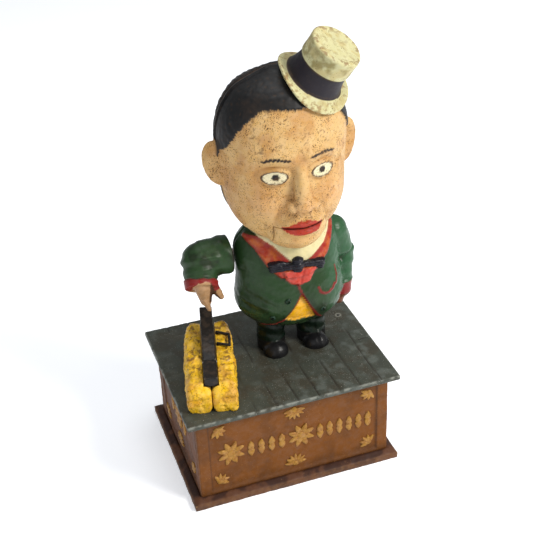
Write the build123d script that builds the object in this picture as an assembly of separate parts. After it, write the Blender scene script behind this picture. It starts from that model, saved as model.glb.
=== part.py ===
from build123d import *
import math
import os

# Cast-iron mechanical coin bank: a standing orator on a plank platform over a coin box, with an open
# carpet bag beside him. Pressing the knob behind the figure lowers the right arm and lifts the bag's
# lid; letting go raises the arm and shuts the bag. The lower jaw is weighted and nods on its own pin.
# Frame: +Z up, the figure faces -Y, origin at the middle of the underside. Millimetres.
# The stored pose is the pressed one: arm down, bag open, jaw shut.

# ---- driving dimensions: base -------------------------------------------------------------------
BOX_W, BOX_D = 116.0, 89.0       # outside of the four side castings
WALL = 3.0
FLOOR_TOP = 4.0                  # panels stand on this face of the base plate
FLOOR_UNDER = 1.2                # depth of the recess under the base plate
PLINTH_OUT = 5.0                 # how far the plinth stands out from the box
PLINTH_EDGE, PLINTH_TOP = 3.8, 5.5
PLATFORM_TOP, PLATFORM_T, OVERHANG = 61.5, 3.0, 5.3
PLATFORM_UNDER = PLATFORM_TOP - PLATFORM_T
GAP = 0.1                        # clearance between castings that meet
PLANKS_X = (-49.0, -36.0, -23.5, -11.5, 1.0, 13.3, 26.0, 38.5, 51.5)
FIELD_SINK = 0.9                 # the panels' fields lie this far behind their frames
PILASTER = 7.0
RELIEF = 0.9                     # height of the gilt ornament above the field

# ---- driving dimensions: figure -----------------------------------------------------------------
FIG_X = 17.5                     # the figure's own middle plane
PARTING_Y = 12.5                 # plane where front and back castings meet
SHELL = 2.6
LEG_X = (4.9, 30.1)
LEG_Y = 8.0
# half width, centre y and half depth of the coat at each height
COAT = ((83.0, 20.5, 7.0, 15.0), (86.0, 26.0, 7.5, 18.0), (92.0, 31.0, 8.0, 21.5), (99.0, 33.0, 8.0, 22.5),
        (108.0, 32.0, 8.5, 21.5), (118.0, 31.0, 9.5, 20.0), (128.0, 31.5, 11.0, 18.5),
        (136.0, 29.5, 12.0, 16.0), (143.0, 23.0, 12.5, 13.5))
# half width, centre y and half depth of the head at each height
HEAD = ((138.0, 15.0, 8.5, 15.5), (147.0, 26.0, 8.0, 22.0), (158.0, 32.5, 9.0, 26.0), (170.0, 34.5, 11.0, 28.0),
        (182.0, 35.0, 12.0, 29.0), (195.0, 36.0, 12.0, 30.0), (208.0, 34.5, 12.5, 29.0),
        (218.0, 30.0, 13.0, 26.0), (226.0, 22.0, 13.0, 19.0), (231.0, 10.0, 13.0, 9.0))
EAR = (7.5, 5.0, 15.0)           # half sizes of an ear
EAR_Z = 185.0
MOUTH_Z = 153.5                  # where the jaw parts from the face
JAW_HALF_W = 15.0
JAW_PIVOT = (4.0, 163.0)         # y, z
JAW_WEIGHT = (21.0, 164.0)       # y, z
WEIGHT_R, WEIGHT_HALF_L = 7.0, 17.0
NECK_R, NECK_TOP = 11.0, 145.0

# ---- driving dimensions: hat --------------------------------------------------------------------
HAT_AT = (32.5, 3.8, 225.9)      # middle of the brim's underside
HAT_AXIS = (0.40, -0.415, 0.818)
BRIM_R, CROWN_R, CROWN_H = 21.9, 14.3, 26.5
STUD_R = 2.0

# ---- driving dimensions: arm, lever and links ---------------------------------------------------
SHOULDER_X = -16.0
ARM_AXIS = (PARTING_Y, 127.5)    # y, z
SLEEVE_R = 11.5
AXLE_R = 2.2
LEVER_AXIS = (-37.5, 46.0)       # y, z
LEVER_SWING = 6.5                # degrees, released minus pressed
ARM_SWING = 75.0                 # degrees
LINK_X = 8.0
LINK_Y = 8.65
CRANK_X = (3.6, 6.4)
LINK_TRAVEL = (LINK_Y - LEVER_AXIS[0]) * math.sin(math.radians(LEVER_SWING))
CRANK_R = LINK_TRAVEL / (2 * math.sin(math.radians(ARM_SWING / 2)))
KNOB_AT = (44.3, 38.0)
KNOB_STEM_R = 2.0
SHAFT_R = 1.8

# ---- driving dimensions: carpet bag -------------------------------------------------------------
BAG_AT = (-46.1, -41.4)          # middle of the bag's front foot
BAG_TURN = 14.0                  # degrees, rear end towards the figure
BAG_LEN, BAG_HALF_W = 62.0, 14.0
SLOT_HALF_W = 2.8                # half width of the coin slot between the bag's two halves
SLOT_FROM, SLOT_TO = 25.5, 59.0  # along the bag
BAG_FRONT_H, BAG_REAR_H = 17.5, 21.5
BED_H, BED_HALF_W = 15.4, 4.3    # the step along the middle that the frame and the lid lie in
LID_HINGE = (22.0, 18.0)         # along the bag, above the platform
LID_END = 59.0
LID_OPEN = 20.0                  # degrees
BAR_TOP, BAR_SKIN = 21.1, 1.0
LID_PIN_R, TAIL_PIN_R, HANDLE_R = 0.9, 0.75, 0.8
TURN = math.radians(BAG_TURN)
OPEN = math.radians(LID_OPEN)
# the lid's tail is as long as the rod's travel and the lid's angle ask for
TRAVEL_RATIO = math.sin(math.radians(LEVER_SWING)) / math.sin(OPEN)
LID_TAIL = ((BAG_AT[1] + LID_HINGE[0] * math.cos(TURN) - LEVER_AXIS[0]) * TRAVEL_RATIO
            / (1 + math.cos(TURN) * math.cos(OPEN) * TRAVEL_RATIO))
ROD_U = LID_HINGE[0] - LID_TAIL * math.cos(OPEN)
ROD_H = LID_HINGE[1] - LID_TAIL * math.sin(OPEN)
ROD_XY = (BAG_AT[0] + ROD_U * math.sin(TURN), BAG_AT[1] + ROD_U * math.cos(TURN))


# ---- helpers ------------------------------------------------------------------------------------
def block(x0, x1, y0, y1, z0, z1):
    """A box between two corners."""
    return Pos((x0 + x1) / 2, (y0 + y1) / 2, (z0 + z1) / 2) * Box(x1 - x0, y1 - y0, z1 - z0)


def rod(start, end, radius):
    """A round bar from one point to another."""
    start, end = Vector(*start), Vector(*end)
    along = end - start
    bar = Cylinder(radius, along.length, align=(Align.CENTER, Align.CENTER, Align.MIN))
    return Plane(origin=start, z_dir=along) * bar


def cone(start, end, start_r, end_r):
    """A round bar that tapers from one point to another."""
    start, end = Vector(*start), Vector(*end)
    along = end - start
    bar = Cone(start_r, end_r, along.length, align=(Align.CENTER, Align.CENTER, Align.MIN))
    return Plane(origin=start, z_dir=along) * bar


def across(x0, x1, y, z, radius):
    """A round bar along X."""
    return rod((x0, y, z), (x1, y, z), radius)


def upright(x, y, z0, z1, radius):
    """A round bar along Z."""
    return rod((x, y, z0), (x, y, z1), radius)


def ball(x, y, z, radius):
    return Pos(x, y, z) * Sphere(radius)


def egg(x, y, z, half_x, half_y, half_z):
    """An ellipsoid, from a lofted stack of ellipses."""
    rings = []
    for step in range(-4, 5):
        angle = math.radians(step * 20.0)
        rings.append(Pos(x, y, z + half_z * math.sin(angle))
                     * Ellipse(half_x * math.cos(angle), half_y * math.cos(angle)))
    return loft(rings)


def stack(sections, inset=0.0, low=None, high=None):
    """A smooth body through ellipses about the figure's middle plane, inset by a wall thickness."""
    rings = []
    for z, half_w, y, half_d in sections:
        if (low is None or z >= low) and (high is None or z <= high):
            rings.append(Pos(FIG_X, y, z) * Ellipse(half_w - inset, half_d - inset))
    return loft(rings)


def front_of(y):
    return block(-200, 200, -200, y, -10, 300)


def behind(y):
    return block(-200, 200, y, 200, -10, 300)


def on_bag(shape):
    """Places a shape that is drawn in the bag's own frame: X across, Y along from the front, Z up."""
    return Pos(BAG_AT[0], BAG_AT[1], PLATFORM_TOP) * Rot(0, 0, -BAG_TURN) * shape


# ---- base ---------------------------------------------------------------------------------------
SCREW_AT = [(sx * 51.0, sy * 37.5) for sx in (-1, 1) for sy in (-1, 1)]
SCREW_R, SCREW_HEAD_R = 1.6, 2.9
BOSS_R = 3.4
TRAP_R = 18.7
TRAP_AT = (0.0, -2.0)
SHAFT_LUGS = ((-47.2, -44.6), (46.7, 48.9))
FIGURE_SCREWS = ((0.6, 8.7), (LEG_X[1], 8.7))
BAG_SCREWS = ((-7.0, 10.0), (7.0, 10.0), (-8.6, 54.0), (8.6, 54.0))   # across, along
FRAME_SCREW = (0.0, 10.2)


def trap_lugs(radius, half_angle, z0, z1, turn):
    """Two opposite wedge-shaped lugs of a bayonet."""
    lugs = []
    for side in (0, 180):
        mid = math.radians(side + turn)
        spread = math.radians(half_angle)
        corners = [(0, 0)] + [(1.3 * radius * math.cos(mid + k * spread), 1.3 * radius * math.sin(mid + k * spread))
                              for k in (-1, 0, 1)]
        wedge = extrude(make_face(Polyline(*corners, close=True)), z1 - z0)
        disc = Pos(0, 0, (z1 - z0) / 2) * (Cylinder(radius, z1 - z0) - Cylinder(8.0, 2 * (z1 - z0)))
        lugs.append(Pos(TRAP_AT[0], TRAP_AT[1], z0) * (disc & wedge))
    return lugs[0] + lugs[1]


def base_plate():
    """Bottom casting: floor, flared plinth, recess below, trap hole with two bayonet notches."""
    half_x, half_y = BOX_W / 2 + PLINTH_OUT, BOX_D / 2 + PLINTH_OUT
    plate = block(-half_x, half_x, -half_y, half_y, 0, PLINTH_EDGE)
    inner_x, inner_y = BOX_W / 2 + 0.8, BOX_D / 2 + 0.8
    plate += loft([Pos(0, 0, PLINTH_EDGE) * Rectangle(2 * half_x, 2 * half_y),
                   Pos(0, 0, PLINTH_TOP) * Rectangle(2 * inner_x, 2 * inner_y)])
    pocket_x, pocket_y = BOX_W / 2 + GAP, BOX_D / 2 + GAP
    plate -= block(-pocket_x, pocket_x, -pocket_y, pocket_y, FLOOR_TOP, PLINTH_TOP + 1)
    plate -= block(-half_x + 8, half_x - 8, -half_y + 8, half_y - 8, -1, FLOOR_UNDER)
    plate -= upright(*TRAP_AT, -1, FLOOR_TOP + 1, TRAP_R + 0.25)
    plate -= trap_lugs(23.4, 19.0, -1, FLOOR_TOP + 1, 90)
    for x, y in SCREW_AT:
        plate -= upright(x, y, -1, FLOOR_TOP + 1, SCREW_R + GAP)
        plate -= upright(x, y, -1, 2.4, SCREW_HEAD_R + 0.2)
    return plate


def coin_trap():
    """Round cover of the coin hole: a flange below the floor and two lugs above it, with a grip bar."""
    x, y = TRAP_AT
    cover = upright(x, y, 0.55, FLOOR_UNDER - 0.15, TRAP_R + 1.8)
    cover += upright(x, y, 0.55, FLOOR_TOP + 0.15, TRAP_R)
    cover += trap_lugs(22.8, 15.0, FLOOR_TOP + 0.15, FLOOR_TOP + 2.2, 0)
    cover -= block(x - 13, x + 13, y - 6, y + 6, 0, 2.6)
    cover += block(x - 12, x + 12, y - 1.2, y + 1.2, 0.55, 3.0)
    return cover


def leaf(x, z, half_l, half_w, turn):
    return Pos(x, z) * Rot(0, 0, turn) * Ellipse(half_l, half_w)


def spray(x, z, turn):
    """A three-leaved corner ornament, as a flat sketch."""
    shape = Pos(x, z) * Circle(1.9)
    for tilt, reach in ((0, 4.2), (62, 3.4), (-62, 3.4)):
        angle = math.radians(turn + tilt)
        shape += leaf(x + reach * math.cos(angle), z + reach * math.sin(angle), reach * 0.95, 1.55, turn + tilt)
    return shape


def bar_spray(x, z):
    """A long ornament with a leaf each way and a knot in the middle."""
    shape = Pos(x, z) * Circle(2.6)
    for side in (-1, 1):
        shape += leaf(x + side * 4.8, z, 4.0, 1.7, 0)
        shape += leaf(x + side * 3.2, z + 2.0, 2.8, 1.1, side * 35)
    return shape


def rosette(x, z, radius):
    """An eight-petalled rose."""
    shape = Pos(x, z) * Circle(radius * 0.34)
    for petal in range(8):
        angle = math.radians(petal * 45.0)
        shape += leaf(x + 0.6 * radius * math.cos(angle), z + 0.6 * radius * math.sin(angle),
                      radius * 0.4, radius * 0.2, petal * 45.0)
    return shape


def lozenge(x, z, half_w, half_h):
    return make_face(Polyline((x - half_w, z), (x, z - half_h), (x + half_w, z), (x, z + half_h), close=True))


def corner_sprays(half_w):
    """The ornaments in a field's four corners and at the middle of its long edges."""
    low, high = 13.0, 50.0
    shapes = [spray(-half_w + 5, low, 55), spray(half_w - 5, low, 125), spray(-half_w + 5, high, -55),
              spray(half_w - 5, high, -125)]
    return shapes + [bar_spray(0, low - 1), bar_spray(0, high + 1)]


def panel(width, ornaments):
    """A side casting that stands in XZ with its face towards -Y and its back on Y = 0."""
    height = PLATFORM_UNDER - GAP - FLOOR_TOP
    body = block(-width / 2, width / 2, -WALL, 0, FLOOR_TOP, FLOOR_TOP + height)
    field_half = width / 2 - PILASTER
    body -= block(-field_half, field_half, -WALL - 1, -WALL + FIELD_SINK, PLINTH_TOP + 1.5, FLOOR_TOP + height - 2.5)
    field = Plane(origin=(0, -WALL + FIELD_SINK + 0.2, 0), x_dir=(1, 0, 0), z_dir=(0, -1, 0))
    for sketch in ornaments:
        body += extrude(field * sketch, RELIEF + 0.2)
    return body


def front_panel():
    half = BOX_W / 2 - PILASTER
    ornaments = corner_sprays(half)
    ornaments += [rosette(-38.5, 31.5, 8.6), rosette(4.0, 31.5, 8.6)]
    ornaments += [lozenge(x, 31.0, 2.6, 5.2) for x in (-26.5, -20.3, -14.1, -7.9)]
    ornaments += [lozenge(x, 31.0, 2.6, 5.2) for x in (15.6, 21.6, 27.6, 33.6, 39.6, 45.6)]
    return Pos(0, -BOX_D / 2 + WALL, 0) * panel(BOX_W, ornaments)


def plain_ornaments(width):
    half = width / 2 - PILASTER
    return corner_sprays(half) + [rosette(0, 31.5, 8.6), lozenge(-13, 31.5, 2.6, 5.2), lozenge(13, 31.5, 2.6, 5.2)]


def back_panel():
    return Rot(0, 0, 180) * Pos(0, -BOX_D / 2 + WALL, 0) * panel(BOX_W, plain_ornaments(BOX_W))


def side_panel(turn):
    width = BOX_D - 2 * WALL - 2 * GAP
    return Rot(0, 0, turn) * Pos(0, -BOX_W / 2 + WALL, 0) * panel(width, plain_ornaments(width))


def platform():
    """Top casting: plank lines, bosses and shaft lugs below, coin slot and the mechanism's holes."""
    half_x, half_y = BOX_W / 2 + OVERHANG, BOX_D / 2 + OVERHANG
    plate = block(-half_x, half_x, -half_y, half_y, PLATFORM_UNDER, PLATFORM_TOP)
    for x in PLANKS_X:
        plate -= block(x - 0.25, x + 0.25, -half_y - 1, half_y + 1, PLATFORM_TOP - 0.4, PLATFORM_TOP + 1)
    for x, y in SCREW_AT:
        plate += upright(x, y, 44.0, PLATFORM_UNDER + 0.5, BOSS_R)
        plate -= upright(x, y, 40.0, PLATFORM_UNDER + 0.5, SCREW_R + GAP)
    y, z = LEVER_AXIS
    for x0, x1 in SHAFT_LUGS:
        plate += block(x0, x1, y - 3.6, y + 3.6, z, PLATFORM_UNDER + 0.5) + across(x0, x1, y, z, 3.6)
        plate -= across(x0 - 1, x1 + 0.2, y, z, SHAFT_R)
    plate -= on_bag(block(-SLOT_HALF_W, SLOT_HALF_W, SLOT_FROM, SLOT_TO, -PLATFORM_T - 1, 1))
    plate -= on_bag(block(-1.9, 1.9, ROD_U - 2.3, ROD_U + 2.3, -PLATFORM_T - 1, 1))
    plate -= block(LINK_X - 2.2, LINK_X + 2.2, LINK_Y - 3.4, LINK_Y + 3.4, PLATFORM_UNDER - 1, PLATFORM_TOP + 1)
    plate -= upright(*KNOB_AT, PLATFORM_UNDER - 1, PLATFORM_TOP + 1, KNOB_STEM_R + GAP)
    for x, y in FIGURE_SCREWS:
        plate -= upright(x, y, PLATFORM_UNDER - 1, PLATFORM_TOP + 1, 1.5)
    for v, u in BAG_SCREWS + (FRAME_SCREW,):
        plate -= on_bag(upright(v, u, -PLATFORM_T - 1, 1, 1.3))
    return plate


def base_screws():
    """Four long screws that draw the base plate and the platform together over the panels."""
    screws = []
    for x, y in SCREW_AT:
        screw = upright(x, y, 0.5, 2.3, SCREW_HEAD_R) + upright(x, y, 2.0, 57.5, SCREW_R)
        screws.append(screw - block(x - 4, x + 4, y - 0.4, y + 0.4, 0, 1.2))
    return Compound(children=screws)


# ---- figure -------------------------------------------------------------------------------------
def leg(x):
    """Trouser leg and shoe."""
    shape = loft([Pos(x, LEG_Y, PLATFORM_TOP) * Ellipse(8.4, 8.2), Pos(x, LEG_Y, 74.0) * Ellipse(8.0, 8.0),
                  Pos(x, LEG_Y, 90.0) * Ellipse(9.0, 9.0)])
    shoe = egg(x, -0.2, PLATFORM_TOP, 7.3, 7.0, 6.6) & block(x - 10, x + 10, -20, LEG_Y, PLATFORM_TOP, 80)
    return shape + shoe


def left_arm():
    """The arm that hangs at the figure's side, cast with the coat."""
    shoulder, elbow, wrist, tip = (47.5, 13.0, 129.0), (53.0, 14.0, 111.0), (50.5, 9.0, 96.0), (47.5, 7.0, 84.5)
    arm = ball(*shoulder, 9.0) + cone(shoulder, elbow, 9.0, 7.8) + ball(*elbow, 7.8)
    arm += cone(elbow, wrist, 7.8, 6.2) + ball(*wrist, 6.2) + cone(wrist, tip, 4.8, 3.4)
    return arm


def coat():
    """Both halves of the coat, legs and left arm as one hollow body, before it is parted."""
    outer = stack(COAT) + leg(LEG_X[0]) + leg(LEG_X[1]) + left_arm()
    outer += across(SHOULDER_X, -2.0, *ARM_AXIS, SLEEVE_R)
    outer -= stack(HEAD, -0.3)
    outer += upright(FIG_X, PARTING_Y, 136.5, NECK_TOP, NECK_R)
    outer -= stack(COAT, SHELL, low=86.0, high=136.0)
    outer -= upright(FIG_X, PARTING_Y, 120.0, 150.0, NECK_R - SHELL)
    outer -= across(SHOULDER_X - 1, 3.0, *ARM_AXIS, AXLE_R + 0.1)
    outer -= block(LINK_X - 1.9, LINK_X + 1.9, LINK_Y - 3.4, LINK_Y + 3.4, PLATFORM_TOP - 1, 90.0)
    outer -= block(FIG_X - 17, FIG_X + 17, -15, 6.5, 130.0, 160.0)
    for x, y in FIGURE_SCREWS:
        outer -= upright(x, y, PLATFORM_TOP - 1, 78.0, 1.3)
    return outer


def coat_front(whole):
    """Front casting, with the bow tie, and the boss that takes the body screw."""
    half = whole & front_of(PARTING_Y)
    boss = rod((FIG_X, -13.0, 100.0), (FIG_X, PARTING_Y, 100.0), 3.6)
    tie = egg(FIG_X, -8.6, 125.5, 3.6, 2.6, 3.6)
    for side in (-1, 1):
        tie += Pos(FIG_X + side * 8.5, -6.6, 125.5) * Rot(0, 0, side * 14) * Box(12.0, 3.4, 5.4)
    half += boss + tie
    return half - rod((FIG_X, -8.0, 100.0), (FIG_X, PARTING_Y + 1, 100.0), 1.4)


def coat_back(whole):
    """Back casting, with a countersunk hole for the body screw."""
    half = whole & behind(PARTING_Y)
    half += rod((FIG_X, PARTING_Y, 100.0), (FIG_X, 29.0, 100.0), 3.6)
    half -= rod((FIG_X, PARTING_Y - 1, 100.0), (FIG_X, 40.0, 100.0), 1.6)
    return half - rod((FIG_X, 28.4, 100.0), (FIG_X, 40.0, 100.0), 3.1)


def head():
    """The whole head and ears as one hollow body, before it is parted."""
    outer = stack(HEAD)
    for side in (-1, 1):
        outer += egg(FIG_X + side * 36.5, 13.0, EAR_Z, *EAR)
    outer += egg(FIG_X, -17.5, 176.0, 6.0, 8.5, 9.0)
    outer -= stack(HEAD, SHELL, low=147.0, high=226.0)
    outer -= upright(FIG_X, PARTING_Y, 130.0, 150.0, NECK_R + 0.3)
    outer -= rod(along_hat(-12.0), along_hat(12.0), STUD_R)
    return outer - block(FIG_X - JAW_HALF_W - 0.4, FIG_X + JAW_HALF_W + 0.4, -60, 3.0, 120.0, MOUTH_Z + 0.4)


def head_front(whole):
    """Face casting with the jaw pin's two lugs and the boss of the head screw."""
    half = whole & front_of(PARTING_Y)
    y, z = JAW_PIVOT
    for side in (-1, 1):
        half += across(FIG_X + side * 19.0, FIG_X + side * 32.0, y, z, 3.4)
    half -= across(FIG_X - 27.0, FIG_X + 27.0, y, z, 1.2)
    half += rod((FIG_X, -15.5, 205.0), (FIG_X, PARTING_Y, 205.0), 3.6)
    return half - rod((FIG_X, -8.0, 205.0), (FIG_X, PARTING_Y + 1, 205.0), 1.4)


def head_back(whole):
    half = whole & behind(PARTING_Y)
    half += rod((FIG_X, PARTING_Y, 205.0), (FIG_X, 40.0, 205.0), 3.6)
    half -= rod((FIG_X, PARTING_Y - 1, 205.0), (FIG_X, 50.0, 205.0), 1.6)
    return half - rod((FIG_X, 39.4, 205.0), (FIG_X, 50.0, 205.0), 3.1)


def long_screw(z, head_y, tip_y):
    """A screw along Y that holds a front and a back casting together."""
    screw = rod((FIG_X, head_y, z), (FIG_X, head_y + 1.9, z), 2.9) + rod((FIG_X, tip_y, z), (FIG_X, head_y + 1, z), 1.3)
    return screw - block(FIG_X - 4, FIG_X + 4, head_y + 1.1, head_y + 3, z - 0.4, z + 0.4)


def figure_screws():
    """Two screws that come up through the platform into the legs."""
    screws = []
    for x, y in FIGURE_SCREWS:
        screw = upright(x, y, PLATFORM_UNDER - 2.0, PLATFORM_UNDER, 2.7) + upright(x, y, PLATFORM_UNDER - 0.5, 77.0, 1.2)
        screws.append(screw - block(x - 4, x + 4, y - 0.4, y + 0.4, PLATFORM_UNDER - 3, PLATFORM_UNDER - 1.2))
    return Compound(children=screws)


def jaw():
    """Chin casting with two arms back to the pin and a tail that carries the weight."""
    y, z = JAW_PIVOT
    chin = egg(FIG_X, -4.0, 150.0, 19.0, 17.5, 15.4)
    chin -= egg(FIG_X, -2.5, 151.5, 16.0, 16.0, 13.4)
    chin &= block(FIG_X - JAW_HALF_W, FIG_X + JAW_HALF_W, -40, -6.5, 120, MOUTH_Z)
    for side in (-1, 1):
        x = FIG_X + side * 12.6
        arm = rod((x - 1.2, y, z), (x + 1.2, y, z), 3.2)
        arm += extrude(Plane(origin=(x - 1.2, 0, 0), x_dir=(0, 1, 0), z_dir=(1, 0, 0))
                       * make_face(Polyline((y - 2.4, z + 2), (y + 2.6, z - 2), (-8.0, 144.0), (-14.5, 148.5),
                                            (-14.5, 152.6), (-9.0, 152.6), close=True)), 2.4)
        chin += arm & block(-50, 80, -17.0, 20, 120, 190)
    chin += across(FIG_X - 12.6, FIG_X + 12.6, y, z, 2.8)
    chin += rod((FIG_X, y, z), (FIG_X, JAW_WEIGHT[0], JAW_WEIGHT[1]), 2.0)
    chin -= across(FIG_X - 20, FIG_X + 20, y, z, 1.3)
    return chin - across(FIG_X - 20, FIG_X + 20, *JAW_WEIGHT, WEIGHT_R)


def jaw_pin():
    return across(FIG_X - 27.0, FIG_X + 27.0, *JAW_PIVOT, 1.2)


def jaw_weight():
    """Counterweight that holds the jaw shut until the bank is shaken."""
    return across(FIG_X - WEIGHT_HALF_L, FIG_X + WEIGHT_HALF_L, *JAW_WEIGHT, WEIGHT_R)


def along_hat(distance):
    """A point on the hat's axis, above the brim's underside."""
    axis = Vector(*HAT_AXIS).normalized()
    return tuple(Vector(*HAT_AT) + axis * distance)


def hat():
    """Top hat: rolled brim, concave band and flared crown, seated over the head's own crown."""
    profile = [(0, 0), (BRIM_R - 1.2, 0.0), (BRIM_R, 1.2), (BRIM_R - 1.0, 2.4), (17.4, 2.6), (15.6, 5.5),
               (14.3, 10.0), (13.9, 14.0), (CROWN_R, CROWN_H - 1.2), (CROWN_R - 1.2, CROWN_H), (0, CROWN_H)]
    solid = revolve(make_face(Plane.XZ * Polyline(*profile, close=True)), Axis.Z)
    solid = Plane(origin=HAT_AT, z_dir=HAT_AXIS) * solid
    solid -= stack(HEAD, -0.3)
    return solid - rod(along_hat(-10.0), along_hat(15.0), STUD_R)


def hat_stud():
    """A riveted stud from inside the head up into the hat's crown."""
    return rod(along_hat(-7.0), along_hat(15.0), STUD_R) + rod(along_hat(-7.0), along_hat(-5.4), 3.4)


# ---- arm and mechanism --------------------------------------------------------------------------
def right_arm():
    """Sleeve, cuff and cupped hand in one casting, turning about the shoulder."""
    y, z = ARM_AXIS
    elbow, cuff = (-33.5, 11.5, 126.5), (-36.0, 4.5, 115.5)
    arm = across(SHOULDER_X - 0.3, elbow[0], y, z, SLEEVE_R) + ball(*elbow, 11.0)
    arm += cone(elbow, cuff, 10.8, 9.2)
    palm = cone((-35.6, 5.0, 114.0), (-31.6, 8.6, 99.0), 5.0, 3.0)
    fingers = cone((-38.6, 2.6, 116.0), (-31.8, 4.8, 97.5), 3.6, 2.3) + ball(-31.8, 4.8, 97.5, 2.3)
    thumb = cone((-30.0, 3.2, 116.0), (-24.6, 3.6, 105.5), 3.0, 1.9) + ball(-24.6, 3.6, 105.5, 1.9)
    arm += palm + fingers + thumb
    return arm - across(-30.0, SHOULDER_X + 1, y, z, AXLE_R)


def arm_axle():
    y, z = ARM_AXIS
    return across(-30.0, CRANK_X[0], y, z, AXLE_R)


def arm_crank():
    """Crank on the axle's inner end; its pin carries the link."""
    y, z = ARM_AXIS
    half = math.radians(ARM_SWING / 2)
    pin_y, pin_z = y - CRANK_R * math.cos(half), z - CRANK_R * math.sin(half)
    crank = across(CRANK_X[0], CRANK_X[1], y, z, 5.8)
    return crank + across(CRANK_X[1], LINK_X + 2.2, pin_y, pin_z, 1.0)


def eye(x, y, z, outer, inner):
    return across(x - 1.0, x + 1.0, y, z, outer) - across(x - 2, x + 2, y, z, inner)


def arm_link():
    """Wire link from the lever, up through the leg, to the arm's crank."""
    y, z = ARM_AXIS
    low_z = LEVER_AXIS[1]
    high_z = z - CRANK_R * math.sin(math.radians(ARM_SWING / 2))
    link = eye(LINK_X, LINK_Y, low_z, 2.9, 1.6) + eye(LINK_X, LINK_Y + 0.1, high_z, 2.7, 1.55)
    return link + upright(LINK_X, LINK_Y, low_z + 2.3, high_z - 2.1, 0.85)


def lever_shaft():
    return across(SHAFT_LUGS[0][0], SHAFT_LUGS[1][1], *LEVER_AXIS, SHAFT_R)


def operating_lever():
    """One casting on the cross shaft: a long arm to the knob, one to the link and a short one to the bag."""
    y, z = LEVER_AXIS
    lever = across(SHAFT_LUGS[0][1] + 0.3, SHAFT_LUGS[1][0] - 0.3, y, z, 3.4)
    lever += block(42.3, 46.3, y, KNOB_AT[1] + 2.6, z - 1.5, z + 1.5)
    lever += block(3.2, 6.2, y, LINK_Y + 2.4, z - 2.0, z + 2.0)
    lever += across(6.2, LINK_X + 2.0, LINK_Y, z, 1.2)
    rod_x, rod_y = ROD_XY
    lever += block(rod_x + 1.5, rod_x + 4.0, y, rod_y + 2.0, z - 1.6, z + 1.6)
    lever += across(rod_x - 1.6, rod_x + 1.5, rod_y, z, 1.0)
    return lever - across(-60, 60, y, z, SHAFT_R + 0.08)


def lid_rod():
    """Rod from the lever up into the bag; drawing it down tips the lid open."""
    x, y = ROD_XY
    low_z = LEVER_AXIS[1]
    high_z = PLATFORM_TOP + ROD_H
    foot = across(x - 1.0, x + 1.0, y, low_z, 2.6) - across(x - 2, x + 2, y, low_z, 1.3)
    top = Pos(x, y, 0) * Rot(0, 0, -BAG_TURN) * (across(-0.9, 0.9, 0, high_z, 1.9) - across(-2, 2, 0, high_z, 1.15))
    return foot + top + upright(x, y, low_z + 2.0, high_z - 1.5, 0.75)


def press_knob():
    """Button behind the figure, on a stem that bears on the lever."""
    x, y = KNOB_AT
    foot_z = LEVER_AXIS[1] + 2.2
    stem = upright(x, y, foot_z, 63.0, KNOB_STEM_R) + upright(x, y, foot_z, foot_z + 1.2, 3.2)
    cap = upright(x, y, PLATFORM_TOP + 0.7, PLATFORM_TOP + 3.6, 5.4)
    cap = fillet(cap.edges().group_by(Axis.Z)[-1], 1.2)
    return stem + cap


def return_spring():
    """Coil spring that stands on the base plate under the lever's long arm."""
    coil = Helix(pitch=4.2, height=38.6, radius=3.6)
    wire = sweep(Plane(origin=coil @ 0, z_dir=coil % 0) * Circle(0.65), path=coil, is_frenet=True)
    return Pos(44.3, 22.0, FLOOR_TOP + 0.75) * wire


# ---- carpet bag ---------------------------------------------------------------------------------
def handle_wire():
    """The bag's wire handle, folded down on its right half, in the bag's own frame."""
    corners = [(5.4, 46.0, 18.5), (5.4, 46.0, 21.9), (12.2, 43.0, 21.6), (12.2, 33.5, 20.7), (5.4, 36.0, 20.9),
               (5.4, 36.0, 18.0)]
    wire = rod(corners[0], corners[1], HANDLE_R)
    for start, end in zip(corners[1:], corners[2:]):
        wire += ball(*start, HANDLE_R) + rod(start, end, HANDLE_R)
    return wire


def bag_half(side):
    """One puffed half of the bag, open below, with the coin slot and the bed of the frame cut in."""
    outline = Polyline((0, 0), (0, BAG_FRONT_H), (LID_HINGE[0], BAG_FRONT_H + 0.8), (BAG_LEN - 6, BAG_REAR_H),
                       (BAG_LEN, BAG_REAR_H - 2), (BAG_LEN, 0), close=True)
    section = Plane(origin=(0.15, 0, 0), x_dir=(0, 1, 0), z_dir=(1, 0, 0)) * make_face(outline)
    half = extrude(section, BAG_HALF_W - 0.15)
    outer_face = half.faces().sort_by(Axis.X)[-1]
    half = fillet([edge for edge in outer_face.edges() if edge.center().Z > 0.5], 4.2)
    half -= block(-1, BED_HALF_W, 2.0, BAG_LEN + 1, BED_H, 40)
    half -= block(-1, SLOT_HALF_W, SLOT_FROM, SLOT_TO, -1, 40)
    half -= block(-1, 3.0, 13.6, 24.0, 12.5, 40)
    half -= block(-1, 1.9, ROD_U - 2.3, ROD_U + 2.3, -1, 40)
    half -= block(-1, 1.7, 6.7, 13.3, -1, 40)
    half -= block(SLOT_HALF_W + 2.0, BAG_HALF_W - 2.6, 13.0, 48.0, -1, 12.0)
    for v, u in BAG_SCREWS[1::2]:
        half -= upright(v, u, -1, 7.0, 1.15)
    if side < 0:
        return on_bag(mirror(half, Plane.YZ))
    return on_bag(half - handle_wire())


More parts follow.
